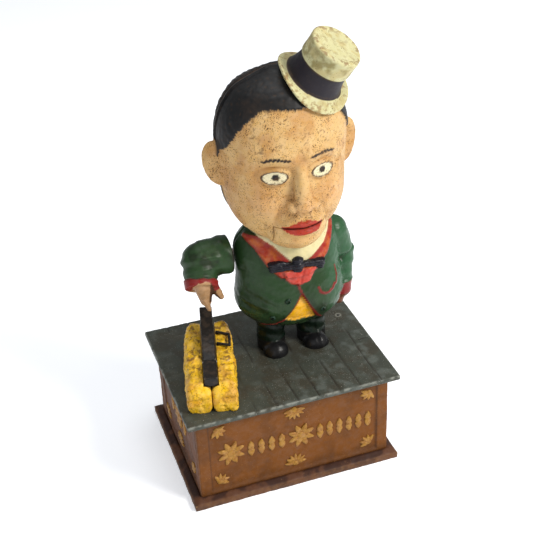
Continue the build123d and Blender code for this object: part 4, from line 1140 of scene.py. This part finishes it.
def make_hat():
    side, ahead, up = hat_frame()
    table = np.array(HAT_PROFILE)
    lengths = np.concatenate([[0], np.cumsum(np.hypot(*np.diff(table, axis=0).T))])
    even = np.linspace(0, lengths[-1], 190)
    radii, heights = np.interp(even, lengths, table[:, 0]), np.interp(even, lengths, table[:, 1])
    turns = np.linspace(0, 2 * math.pi, 200, endpoint=False)
    rings = []
    for radius, height in zip(radii, heights):
        out = max(0.0, (radius - 16.0) / 5.5)
        lift = 1.7 * out**1.6 * np.abs(np.cos(turns)) ** 2.5 - 3.3 * out**1.3 * np.abs(np.sin(turns)) ** 1.5
        spread = 0.98 * radius * (1 + 0.04 * out * np.sin(turns) ** 2)
        rings.append(np.array(HAT_AT) + np.outer(spread * np.cos(turns), side)
                     + np.outer(spread * np.sin(turns), ahead)
                     + np.outer(0.965 * height + lift, up))
    hat = new_object("hat_casting", loft_mesh("hat_casting", rings))
    points, normals = points_of(hat.data), normals_of(hat.data)
    local = points - np.array(HAT_AT)
    high, wide = local @ up, np.hypot(local @ side, local @ ahead)
    points += normals * (0.06 * rough_field(points, 3, 41) + 0.15 * rough_field(points, 9, 42, 2))[:, None]
    set_points(hat.data, points)
    band = ((high > BAND_FOOT - 0.5) & (high < BAND_TOP) & (wide < 16.6)).astype(float)
    paint = brush(coat_of((0.57, 0.54, 0.29), len(points)),
                  step(rough_field(points, 7, 44), 0.0, 0.4) * 0.6, (0.48, 0.38, 0.15))
    stained = 0.35 + 0.65 * step(wide, 9, 13.5)
    blots = step(rough_field(points, 2.6, 45, 5), 0.05, 0.45)
    paint = brush(paint, 0.8 * blots * stained * step(high, 24.8, 26.0), (0.22, 0.12, 0.045))
    crown_side = step(high, 13, 16) * step(-high, -26.0, -24.5)
    grime = 0.8 * step(rough_field(points, 5, 46, 5), -0.3, 0.5)
    paint = brush(paint, grime * crown_side, (0.25, 0.2, 0.065))
    paint = brush(paint, 0.75 * blots * step(wide, 16.8, 17.8), (0.27, 0.15, 0.05))
    paint = brush(paint, band, (0.014, 0.011, 0.017))
    # Painted shade: the hat's underside, out to the brim's edge, is painted near black.
    paint = brush(paint, (high < 0.4) * (wide < 20.0) * 1.0, (0.03, 0.025, 0.02))
    finish_casting(hat, paint, 0.05, 1 - 0.85 * band)
    return hat


hat_paint = old_paint("aged_hat_enamel", under=(0.12, 0.06, 0.025), dirt=(0.2, 0.12, 0.035), specks=0.6,
                      speck_size=1.3,
                      patches=0.25, edge=0.3, gloss=0.5)
dress(make_hat(), hat_paint, "root", "cream_paint", "hat")

# %% [markdown]
# ## The carpet bag
# Two puffed castings side by side, creased all over as if packed too full. They are modelled in the bag's own
# frame, v across and u along it, pushed in and out with ridged noise, and then turned into place.

# %% Bag
BAG_AT, BAG_TURN = Vector((-46.1, -41.4)), math.radians(14)
BAG_SIZE = {"length": 62.0, "half": 14.0, "bed_half": 4.3, "bed": 15.4, "slot_half": 2.8,
            "slot": (25.5, 59.0)}


def bag_top(u):
    return float(np.interp(u, [0, 3, 22, 56, 62], [15.4, 17.6, 18.4, 21.3, 18.6]))


def from_bag(points):
    v, u, h = np.asarray(points, float).T
    return np.column_stack([BAG_AT.x + v * math.cos(BAG_TURN) + u * math.sin(BAG_TURN),
                            BAG_AT.y - v * math.sin(BAG_TURN) + u * math.cos(BAG_TURN), PLATFORM_TOP + h])


def to_bag(points):
    x, y = points[:, 0] - BAG_AT.x, points[:, 1] - BAG_AT.y
    return (x * math.cos(BAG_TURN) - y * math.sin(BAG_TURN),
            x * math.sin(BAG_TURN) + y * math.cos(BAG_TURN),
            points[:, 2] - PLATFORM_TOP)


def lobe_rings(side):
    """One half of the bag as square-shouldered sections from front to back."""
    rings = []
    turns = np.linspace(0, 2 * math.pi, 56, endpoint=False)
    for u in np.concatenate([[0.0, 0.5, 1.6, 3.2], np.linspace(6, 56, 18), [59, 60.6, 61.6, 62.0]]):
        near_end = min(u, BAG_SIZE["length"] - u)
        round_off = math.sqrt(max(0.0, 1 - (1 - min(near_end, 5.0) / 5.0) ** 2)) * 0.5 + 0.5
        low, high = -1.0, bag_top(u) * (0.72 + 0.28 * round_off) + 0.5 * math.sin(u * 0.33)
        taper = 6.9 - 1.5 * smooth_value(u, (0, 44, 62), (0, 0, 1))
        half = taper * (0.7 + 0.3 * round_off) + 0.3 * math.sin(u * 0.27 + 1)
        cos, sin = np.cos(turns), np.sin(turns)
        v = side * (7.0 + half * np.sign(cos) * np.abs(cos) ** 0.62)
        h = (low + high) / 2 + (high - low) / 2 * np.sign(sin) * np.abs(sin) ** 0.55
        rings.append(from_bag(np.column_stack([v, np.full(len(v), u), h])))
    return rings


def bag_tool(name, v0, v1, u0, u1, h0, h1):
    corners = [(v, u, h) for h in (h0, h1) for v, u in ((v0, u0), (v1, u0), (v1, u1), (v0, u1))]
    mesh = bpy.data.meshes.new(name)
    mesh.from_pydata((from_bag(corners) * MM).tolist(), [],
                     [(3, 2, 1, 0), (4, 5, 6, 7), (0, 1, 5, 4), (1, 2, 6, 5), (2, 3, 7, 6), (3, 0, 4, 7)])
    return new_object(name, outward(mesh))


def make_lobe(side, name):
    lobe = fuse(name, [lobe_rings(side)], 0.55, 3)
    points, normals = points_of(lobe.data), normals_of(lobe.data)
    v, u, h = to_bag(points)
    outer = step(np.abs(v), 3.8, 5.4)
    lumps = 0.75 * rough_field(points, 6.5, 51 + side, 3)
    ridges = 0.9 * (0.32 - np.abs(rough_field(points * np.array((1, 0.55, 1)), 2.7, 54 + side, 4)))
    seam = -1.5 * hump(h - 8.5 - 1.2 * np.sin(u * 0.3), 1.0) * hump(u, 9) * 0.5
    points += normals * (outer * (lumps + ridges + seam))[:, None]
    set_points(lobe.data, points)
    trim(lobe, (0, 0, PLATFORM_TOP + 0.05), (0, 0, -1))
    bed = BAG_SIZE["bed_half"]
    tools = [bag_tool("bed_tool", -bed, bed, 2.2, 70, BAG_SIZE["bed"], 40),
             bag_tool("slot_tool", -2.8, 2.8, 25.5, 59, -5, 40),
             bag_tool("pin_tool", -3.0, 3.0, 13.6, 24, 12.5, 40),
             bag_tool("rod_tool", -1.9, 1.9, 15.4, 20.0, -5, 40),
             bag_tool("tongue_tool", -1.7, 1.7, 6.7, 13.3, -5, 40),
             bag_tool("gap_tool", *((-9, 0.15) if side > 0 else (-0.15, 9)), -9, 80, -9, 60)]
    for tool in tools:
        done = cut(lobe, tool, "DIFFERENCE")
        bpy.data.objects.remove(lobe)
        bpy.data.objects.remove(tool)
        lobe = done
    lobe.name = name
    points = points_of(lobe.data)
    v, u, h = to_bag(points)
    paint = brush(coat_of(YELLOW, len(points)), 0.75 * step(rough_field(points, 8, 57), -0.05, 0.4),
                  (0.62, 0.3, 0.03))
    paint = brush(paint, 0.8 * step(rough_field(points, 3.0, 58, 4), 0.12, 0.4) * step(u, 4, 18),
                  (0.17, 0.075, 0.015))
    inner = (np.abs(v) < bed + 0.1) & ((h < BAG_SIZE["bed"] + 0.1) & (u > 2.3) | (np.abs(v) < 0.6))
    paint = brush(paint, inner * (u > 2.3) * 0.9, (0.02, 0.013, 0.008))
    finish_casting(lobe, paint)
    return lobe


bag_paint = old_paint("worn_yellow_enamel", under=(0.05, 0.025, 0.01), dirt=(0.16, 0.07, 0.012),
                      specks=0.68, speck_size=1.25,
                      patches=0.55, edge=0.25, gloss=0.65, relief=0.16)
for side, node in ((-1, "bag_left"), (1, "bag_right")):
    lobe = make_lobe(side, node + "_casting")
    dress(lobe, bag_paint, "root", "yellow_paint", node)
    print(lobe.name, len(lobe.data.polygons), "faces")


# %% [markdown]
# ## Platform, side castings and base
# Sand castings have soft edges and slightly uneven faces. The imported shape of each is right, so it is copied,
# remeshed evenly and worn a little: grooves deepened, edges nibbled, dents pressed in.

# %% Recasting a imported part
BOX_W, BOX_D, WALL, FLOOR_TOP = 116.0, 89.0, 3.0, 4.0
PLANKS_X = (-49, -36, -23.5, -11.5, 1, 13.3, 26, 38.5, 51.5)


def recast(node, name, voxel, smoothing=2):
    shape = bmesh.new()
    shape.from_mesh(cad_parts[node].data)
    bmesh.ops.remove_doubles(shape, verts=shape.verts, dist=1e-6)
    mesh = bpy.data.meshes.new(name)
    shape.to_mesh(mesh)
    shape.free()
    return even_mesh(new_object(name, mesh), voxel, smoothing)


def even_mesh(piece, voxel, smoothing):
    remesh = piece.modifiers.new("remesh", "REMESH")
    remesh.mode, remesh.voxel_size = "VOXEL", voxel * MM
    smooth = piece.modifiers.new("smooth", "SMOOTH")
    smooth.factor, smooth.iterations = 0.5, smoothing
    piece = plain_copy(piece)
    piece.data.shade_smooth()
    print(piece.name, len(piece.data.polygons), "faces")
    return piece


def make_platform():
    slab = recast("platform", "platform_casting", 0.66)
    points, normals = points_of(slab.data), normals_of(slab.data)
    x, y, z = points.T
    upper = step(normals[:, 2], 0.5, 0.9) * (z > 60.5)
    grooves = sum(hump(x - plank - 0.35 * np.sin(y * 0.11 + plank), 0.42) for plank in PLANKS_X)
    nicks = sum(hump(y - 17 * math.sin(plank * 2.3) - 6, 0.45) * (np.abs(x - plank - 5.5) < 4.5)
                for plank in PLANKS_X)
    fade = step(rough_field(points, 26, 61, 2), -0.35, 0.1)
    rim = np.maximum(np.abs(x) - 61.6, np.abs(y) - 48.1)
    chips = step(rough_field(points, 2.6, 62, 3), 0.0, 0.5) * step(rim, -0.5, 0.9)
    dents = 0.12 * rough_field(points, 5, 63)
    move = upper * (-0.5 * grooves * (0.35 + 0.65 * fade) - 0.25 * nicks + dents)
    move += 0.05 * rough_field(points, 1.8, 64) - 0.06 * chips
    points += normals * move[:, None]
    set_points(slab.data, points)
    paint = brush(coat_of(SLATE, len(points)), 0.7 * step(rough_field(points, 17, 65, 4), -0.1, 0.35),
                  (0.048, 0.042, 0.028))
    # Rubbed patches of real wear, made stronger toward the front corner that faces the key light: that rise is
    # painted light.
    worn = step(rough_field(points, 7, 66, 5), -0.1, 0.7) * (0.45 + 0.55 * step(x - y, 10, 70))
    paint = brush(paint, 0.75 * worn, (0.11, 0.125, 0.11))
    paint = brush(paint, upper * np.clip(grooves * fade, 0, 1) * 0.85, (0.016, 0.014, 0.011))
    paint = brush(paint, upper * np.clip(nicks * fade, 0, 1) * 0.6, (0.016, 0.014, 0.011))
    hole = np.hypot(x - 53.7, y - 21.4)
    paint = brush(paint, upper * hump(hole - 1.5, 0.5) * 0.7, (0.3, 0.3, 0.25))
    paint = brush(paint, upper * step(-hole, -1.1, -0.8), (0.006, 0.006, 0.006))
    edge = hump(rim - 1.5, 0.45) * hump(z - 61.0, 0.9) * step(rough_field(points, 4.0, 67, 5), -0.25, 0.35)
    paint = brush(paint, 0.75 * edge, (0.3, 0.31, 0.27))
    finish_casting(slab, paint)
    return slab


platform_paint = old_paint("slate_paint_worn", under=(0.3, 0.31, 0.28), dirt=(0.04, 0.028, 0.016),
                           specks=0.5,
                           speck_size=1.2, patches=0.3, edge=0.15, gloss=0.45, relief=0.14)
dress(make_platform(), platform_paint, "root", "slate_paint", "platform")


# %% Side castings
FIELD_SINK, PILASTER, PANEL_TOP = 0.9, 7.0, 58.4
PANEL_TURNS = {"front": (0, BOX_W, BOX_D / 2), "back": (180, BOX_W, BOX_D / 2),
               "left": (90, BOX_D - 6.2, BOX_W / 2), "right": (-90, BOX_D - 6.2, BOX_W / 2)}


def make_panel(side):
    turn, width, reach = PANEL_TURNS[side]
    name = side + "_panel_casting"
    block = cut_box(name + "_block", (-width / 2, -reach, FLOOR_TOP), (width / 2, -reach + WALL, PANEL_TOP))
    field = cut_box("field", (-width / 2 + PILASTER, -reach - 5, 7),
                    (width / 2 - PILASTER, -reach + FIELD_SINK, 55.9))
    board = cut(block, field, "DIFFERENCE")
    for tool in (block, field):
        bpy.data.objects.remove(tool)
    board.name = name
    board.data.transform(Matrix.Rotation(math.radians(turn), 4, "Z"))
    board = even_mesh(board, 0.66, 1)
    points, normals = points_of(board.data), normals_of(board.data)
    points += normals * (0.14 * rough_field(points, 3, 70) + 0.2 * rough_field(points, 14, 71, 2))[:, None]
    set_points(board.data, points)
    warm = 0.6 * step(rough_field(points, 15, 72, 4), -0.2, 0.4)
    # Painted shade: the side and back panels get a darker copy of the front panel's ochre.
    base = OCHRE if side == "front" else (0.13, 0.04, 0.008)
    paint = brush(coat_of(base, len(points)), warm, tuple(0.62 * value for value in base))
    swing = Matrix.Rotation(math.radians(-turn), 3, "Z")
    along = np.abs(points @ np.array(swing)[0])
    # Painted shade: a dark line along the step where the pilasters drop to the sunken field.
    field_edge_shade = hump(along - width / 2 + PILASTER, 0.5) * step(points[:, 2], 6, 8)
    paint = brush(paint, 0.6 * field_edge_shade, (0.03, 0.012, 0.005))
    # Painted shade: darker bands along the top, under the platform's overhang, and along the foot, where the
    # panel meets the base.
    low = step(-points[:, 2], -13, -5) + step(points[:, 2], 52, 58)
    paint = brush(paint, 0.45 * np.clip(low, 0, 1), (0.07, 0.03, 0.012))
    finish_casting(board, paint)
    return board


panel_paint = old_paint("ochre_paint_worn", under=(0.42, 0.2, 0.06), dirt=(0.09, 0.035, 0.012),
                        specks=0.35, speck_size=1.2,
                        patches=0.3, edge=0.3, gloss=0.35)
for side in PANEL_TURNS:
    dress(make_panel(side), panel_paint, "root", "ochre_paint", side + "_panel")

# %% [markdown]
# ## Gilt ornaments
# The ornaments are rosettes, leaf sprays and lozenges in low relief. All are rings or fans of one pointed
# leaf, so a single Geometry Nodes tree makes them, and its named inputs give each kind its count and size.

# %% The leaf ornament tree
def ornament_tree():
    tree = Tree("Leaf Ornament",
                (("Leaves", "Int", 8), ("Spread", "Float", 360.0), ("Leaf Length", "Float", 3 * MM),
                                  ("Leaf Width", "Float", 1.5 * MM), ("Leaf Height", "Float", 0.9 * MM),
                                  ("Ring Radius", "Float", 5 * MM), ("Centre Radius", "Float", 2 * MM),
                                  ("Material", "Material", None)))
    given = tree.given
    ball = tree.add("GeometryNodeMeshUVSphere", {"Segments": 20, "Rings": 12, "Radius": 1.0}).outputs[0]
    place = tree.add("GeometryNodeInputPosition").outputs[0]
    parts = tree.add("ShaderNodeSeparateXYZ", {"Vector": place}).outputs
    narrow = tree.maths("SUBTRACT", 1.0, tree.maths("MULTIPLY", parts["X"], 0.42))
    pointed = tree.vector(parts["X"], tree.maths("MULTIPLY", parts["Y"], narrow), parts["Z"])
    leaf = tree.add("GeometryNodeSetPosition", {"Geometry": ball, "Position": pointed}).outputs[0]
    leaf = tree.moved(leaf, (0, 0, 0),
                      size=tree.vector(given["Leaf Length"], given["Leaf Width"], given["Leaf Height"]))
    number = tree.add("GeometryNodeInputIndex").outputs[0]
    share = tree.maths("DIVIDE", tree.maths("ADD", number, 0.5), given["Leaves"])
    angle = tree.maths("MULTIPLY", tree.maths("SUBTRACT", share, 0.5),
                       tree.maths("RADIANS", given["Spread"]))
    spot = tree.vector(tree.maths("MULTIPLY", tree.maths("COSINE", angle), given["Ring Radius"]),
                       tree.maths("MULTIPLY", tree.maths("SINE", angle), given["Ring Radius"]), 0.0)
    ring = tree.add("GeometryNodePoints",
                    {"Count": given["Leaves"], "Position": spot, "Radius": 0.001}).outputs[0]
    leaves = tree.add("GeometryNodeInstanceOnPoints",
                      {"Points": ring, "Instance": leaf, "Rotation": tree.vector(z=angle)}).outputs[0]
    knot = tree.moved(ball, (0, 0, 0),
                      size=tree.vector(given["Centre Radius"], given["Centre Radius"],
                                       given["Leaf Height"]))
    whole = tree.add("GeometryNodeRealizeInstances", {"Geometry": tree.join(leaves, knot)}).outputs[0]
    return tree.finish(on_each_point(tree, whole))


ORNAMENT = ornament_tree()


def on_panels(places, proud=0.35):
    """World places and turns for marks given as (side, x, z, roll)."""
    spots, turns = [], []
    for side, x, z, roll in places:
        turn, _, reach = PANEL_TURNS[side]
        swing = Matrix.Rotation(math.radians(turn), 3, "Z")
        spots.append(tuple(swing @ Vector((x, -reach + FIELD_SINK - proud * 0.3, z))))
        turns.append(facing(swing @ Vector((0, -1, 0)), roll))
    return spots, turns


def field_half(side):
    return PANEL_TURNS[side][1] / 2 - PILASTER


def make_ornaments(name, places, seed, **sizes):
    piece = grow(name, ORNAMENT, *on_panels(places), material=gilt_paint, **sizes)
    points, normals = points_of(piece.data), normals_of(piece.data)
    points += normals * (0.22 * rough_field(points, 1.6, seed))[:, None]
    set_points(piece.data, points)
    gilt = brush(coat_of(GILT, len(points)), step(rough_field(points, 3, seed + 1), -0.1, 0.3) * 0.7,
                 (0.3, 0.13, 0.03))
    store(piece.data, "paint", gilt)
    bend = convexity(piece.data)
    store(piece.data, "crest", np.clip(bend / 0.2, 0, 1) * 0.3)
    store(piece.data, "hollow", np.zeros(len(points)))
    store(piece.data, "age", np.ones(len(points)))
    return dress(piece, None, "root", "ochre_paint")


gilt_paint = old_paint("worn_gilding", under=(0.12, 0.05, 0.015), dirt=(0.14, 0.055, 0.012), specks=0.55,
                       speck_size=1.2,
                       patches=0.6, edge=0.15, gloss=0.6, metal=0.25)
SIDES = tuple(PANEL_TURNS)
corners = [(side, across * (field_half(side) - 5), z, roll) for side in SIDES for across, z, roll in
           ((-1, 13, 50), (1, 13, 130), (-1, 50, -50), (1, 50, -130))]
make_ornaments("corner_sprays", corners, 80, leaves=5, spread=190.0, leaf_length=2.9 * MM,
               leaf_width=1.35 * MM,
               ring_radius=2.7 * MM, centre_radius=2.0 * MM)
middles = [(side, 0, z, roll) for side in SIDES for z, roll in ((12, 90), (51, -90))]
make_ornaments("bar_sprays", middles, 83, leaves=7, spread=200.0, leaf_length=3.1 * MM,
               leaf_width=1.25 * MM,
               ring_radius=3.6 * MM, centre_radius=2.2 * MM)
roses = [("front", -38.5, 31.5, 0), ("front", 4.0, 31.5, 0)] + [(side, 0, 31.5, 0) for side in SIDES[1:]]
make_ornaments("rosettes", roses, 86, leaves=8, spread=360.0, leaf_length=3.3 * MM, leaf_width=1.7 * MM,
               ring_radius=5.1 * MM, centre_radius=2.7 * MM)
drops = [("front", x, 31, 0) for x in (-26.5, -20.3, -14.1, -7.9, 15.6, 21.6, 27.6, 33.6, 39.6, 45.6)]
drops += [(side, x, 31.5, 0) for side in SIDES[1:] for x in (-13, 13)]
make_ornaments("lozenge_leaves", drops, 89, leaves=2, spread=360.0, leaf_length=3.0 * MM,
               leaf_width=1.9 * MM,
               ring_radius=2.4 * MM, centre_radius=1.5 * MM)


# %% Base plate
def make_base():
    base = recast("base_plate", "base_casting", 0.85)
    points, normals = points_of(base.data), normals_of(base.data)
    x, y = points.T[:2]
    uneven = 0.16 * rough_field(points, 3.2, 91) + 0.18 * rough_field(points, 12, 92, 2)
    points += normals * uneven[:, None]
    points[:, 2] = np.maximum(points[:, 2], 0.0)
    set_points(base.data, points)
    paint = brush(coat_of(MAROON, len(points)), 0.8 * step(rough_field(points, 10, 93, 4), -0.1, 0.35),
                  (0.13, 0.05, 0.022))
    rim = np.maximum(np.abs(x) - 61.9, np.abs(y) - 48.4)
    worn = step(rim, 0.0, 0.8) * (0.45 + 0.55 * step(rough_field(points, 3, 94, 5), -0.1, 0.4))
    paint = brush(paint, 0.7 * worn, (0.17, 0.075, 0.025))
    finish_casting(base, paint)
    return base


base_paint = old_paint("maroon_paint_worn", under=(0.24, 0.13, 0.055), dirt=(0.04, 0.02, 0.012),
                       specks=0.35, speck_size=1.3,
                       patches=0.35, edge=0.5, gloss=0.35)
dress(make_base(), base_paint, "root", "plinth_paint", "base_plate")

# %% [markdown]
# ## The black bar and the handle
# The bar along the bag's mouth is the lid that lets the coin in. Its fixed front end and its moving part are
# recast like the others, so their corners are soft and rubbed; the wire handle is treated the same way.

# %% Bar, lid and handle
def make_black_part(node, voxel):
    part = recast(node, node + "_casting", voxel, 3)
    points, normals = points_of(part.data), normals_of(part.data)
    set_points(part.data, points + normals * (0.09 * rough_field(points, 2.0, 101))[:, None])
    paint = brush(coat_of((0.012, 0.011, 0.01), len(points)),
                  0.5 * step(rough_field(points, 4, 102), 0.0, 0.4), (0.05, 0.035, 0.025))
    finish_casting(part, paint, 0.06)
    return part


black_paint = old_paint("black_bar_enamel", under=(0.11, 0.08, 0.055), dirt=(0.05, 0.032, 0.02),
                        specks=0.2, patches=0.3,
                        edge=0.5, gloss=0.75, relief=0.08)
for node, body, voxel in (("bag_frame", "root", 0.4), ("bag_lid", "lid", 0.4),
                          ("bag_handle", "root", 0.28)):
    dress(make_black_part(node, voxel), black_paint, body, "black_paint", node)

# %% [markdown]
# ## Screws
# The slotted screws repeat too: a Geometry Nodes tree domes the head, cuts the slot and adds the shank.

# %% Slotted screws
def screw_tree():
    tree = Tree("Slotted Screw", (("Head Radius", "Float", 2.9 * MM), ("Head Height", "Float", 1.8 * MM),
                                  ("Shank Radius", "Float", 1.6 * MM), ("Shank Length", "Float", 40 * MM),
                                  ("Slot Width", "Float", 0.8 * MM), ("Material", "Material", None)))
    given, ball = tree.given, tree.add("GeometryNodeMeshUVSphere",
                                       {"Segments": 40, "Rings": 24, "Radius": 1.0}).outputs[0]
    dome = tree.moved(ball, (0, 0, 0),
                      size=tree.vector(given["Head Radius"], given["Head Radius"], given["Head Height"]))
    wide = tree.maths("MULTIPLY", given["Head Radius"], 3.0)
    slot_box = tree.add("GeometryNodeMeshCube",
                        {"Size": tree.vector(wide, given["Slot Width"], given["Head Height"])}).outputs[0]
    slot = tree.moved(slot_box, tree.vector(z=given["Head Height"]))
    under_box = tree.add("GeometryNodeMeshCube", {"Size": tree.vector(wide, wide, wide)}).outputs[0]
    under = tree.moved(under_box, tree.vector(z=tree.maths("MULTIPLY", wide, -0.5)))
    head = tree.add("GeometryNodeMeshBoolean", {"Mesh 1": dome, "Mesh 2": tree.join(slot, under)},
                    operation="DIFFERENCE").outputs[0]
    shank = tree.add("GeometryNodeMeshCylinder",
                     {"Vertices": 32, "Radius": given["Shank Radius"], "Depth": given["Shank Length"]})
    shank = tree.moved(shank.outputs[0], tree.vector(z=tree.maths("MULTIPLY", given["Shank Length"], -0.5)))
    return tree.finish(on_each_point(tree, tree.join(head, shank)))


def plain_metal(name, colour, roughness, specks):
    return old_paint(name, colour, under=(0.06, 0.035, 0.02), dirt=(0.12, 0.06, 0.03), specks=specks,
                     patches=0.45, edge=0.0,
                     gloss=roughness, metal=0.85, relief=0.1, shine=0.5)


screw_steel = plain_metal("rusted_screw_steel", (0.33, 0.3, 0.27), 0.5, 0.5)
SCREW = screw_tree()
feet = [(x, y, 2.3) for x in (-51, 51) for y in (-37.5, 37.5)]
base_screws = grow("base_screws_turned", SCREW, feet, [facing((0, 0, -1), 25 + 40 * k) for k in range(4)],
                   head_radius=2.9 * MM, shank_length=55.2 * MM, shank_radius=1.5 * MM,
                   material=screw_steel)
dress(base_screws, None, "root", "steel", "base_screws")
backs = {"body_screw": (FACE_X, 30.9, 100.0), "head_screw": (FACE_X, 42.9, 205.0)}
for node, place in backs.items():
    screw = grow(node + "_turned", SCREW, [place], [facing((0, 1, 0), 30)], head_radius=3.0 * MM,
                 head_height=1.5 * MM,
                 shank_length=(place[1] + 7.0) * MM, shank_radius=1.3 * MM, material=screw_steel)
    dress(screw, None, "root", "steel", node)

# %% [markdown]
# ## Metal parts
# The mechanism is packed to its true shape, so its parts keep their meshes and only get a finish.

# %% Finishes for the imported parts
bare_iron = plain_metal("brown_bare_iron", (0.12, 0.085, 0.06), 0.35, 0.7)
bright_steel = plain_metal("dull_wire_steel", (0.38, 0.36, 0.33), 0.6, 0.4)
knob_paint = old_paint("black_knob_enamel", (0.012, 0.011, 0.011), under=(0.12, 0.09, 0.07), specks=0.35,
                       patches=0.3, gloss=0.7)
METALS = {bare_iron: ("arm_crank", "coin_trap", "jaw_weight", "operating_lever"),
          knob_paint: ("press_knob",),
          bright_steel: ("arm_axle", "arm_link", "bag_screws", "figure_screws", "hat_stud", "jaw_pin",
                         "lever_shaft",
                         "lid_pin", "lid_rod", "return_spring", "tail_pin")}
for metal, nodes in METALS.items():
    for node in nodes:
        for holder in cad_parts[node].material_slots:
            holder.material = metal
print("finished", sum(len(nodes) for nodes in METALS.values()), "packed parts")
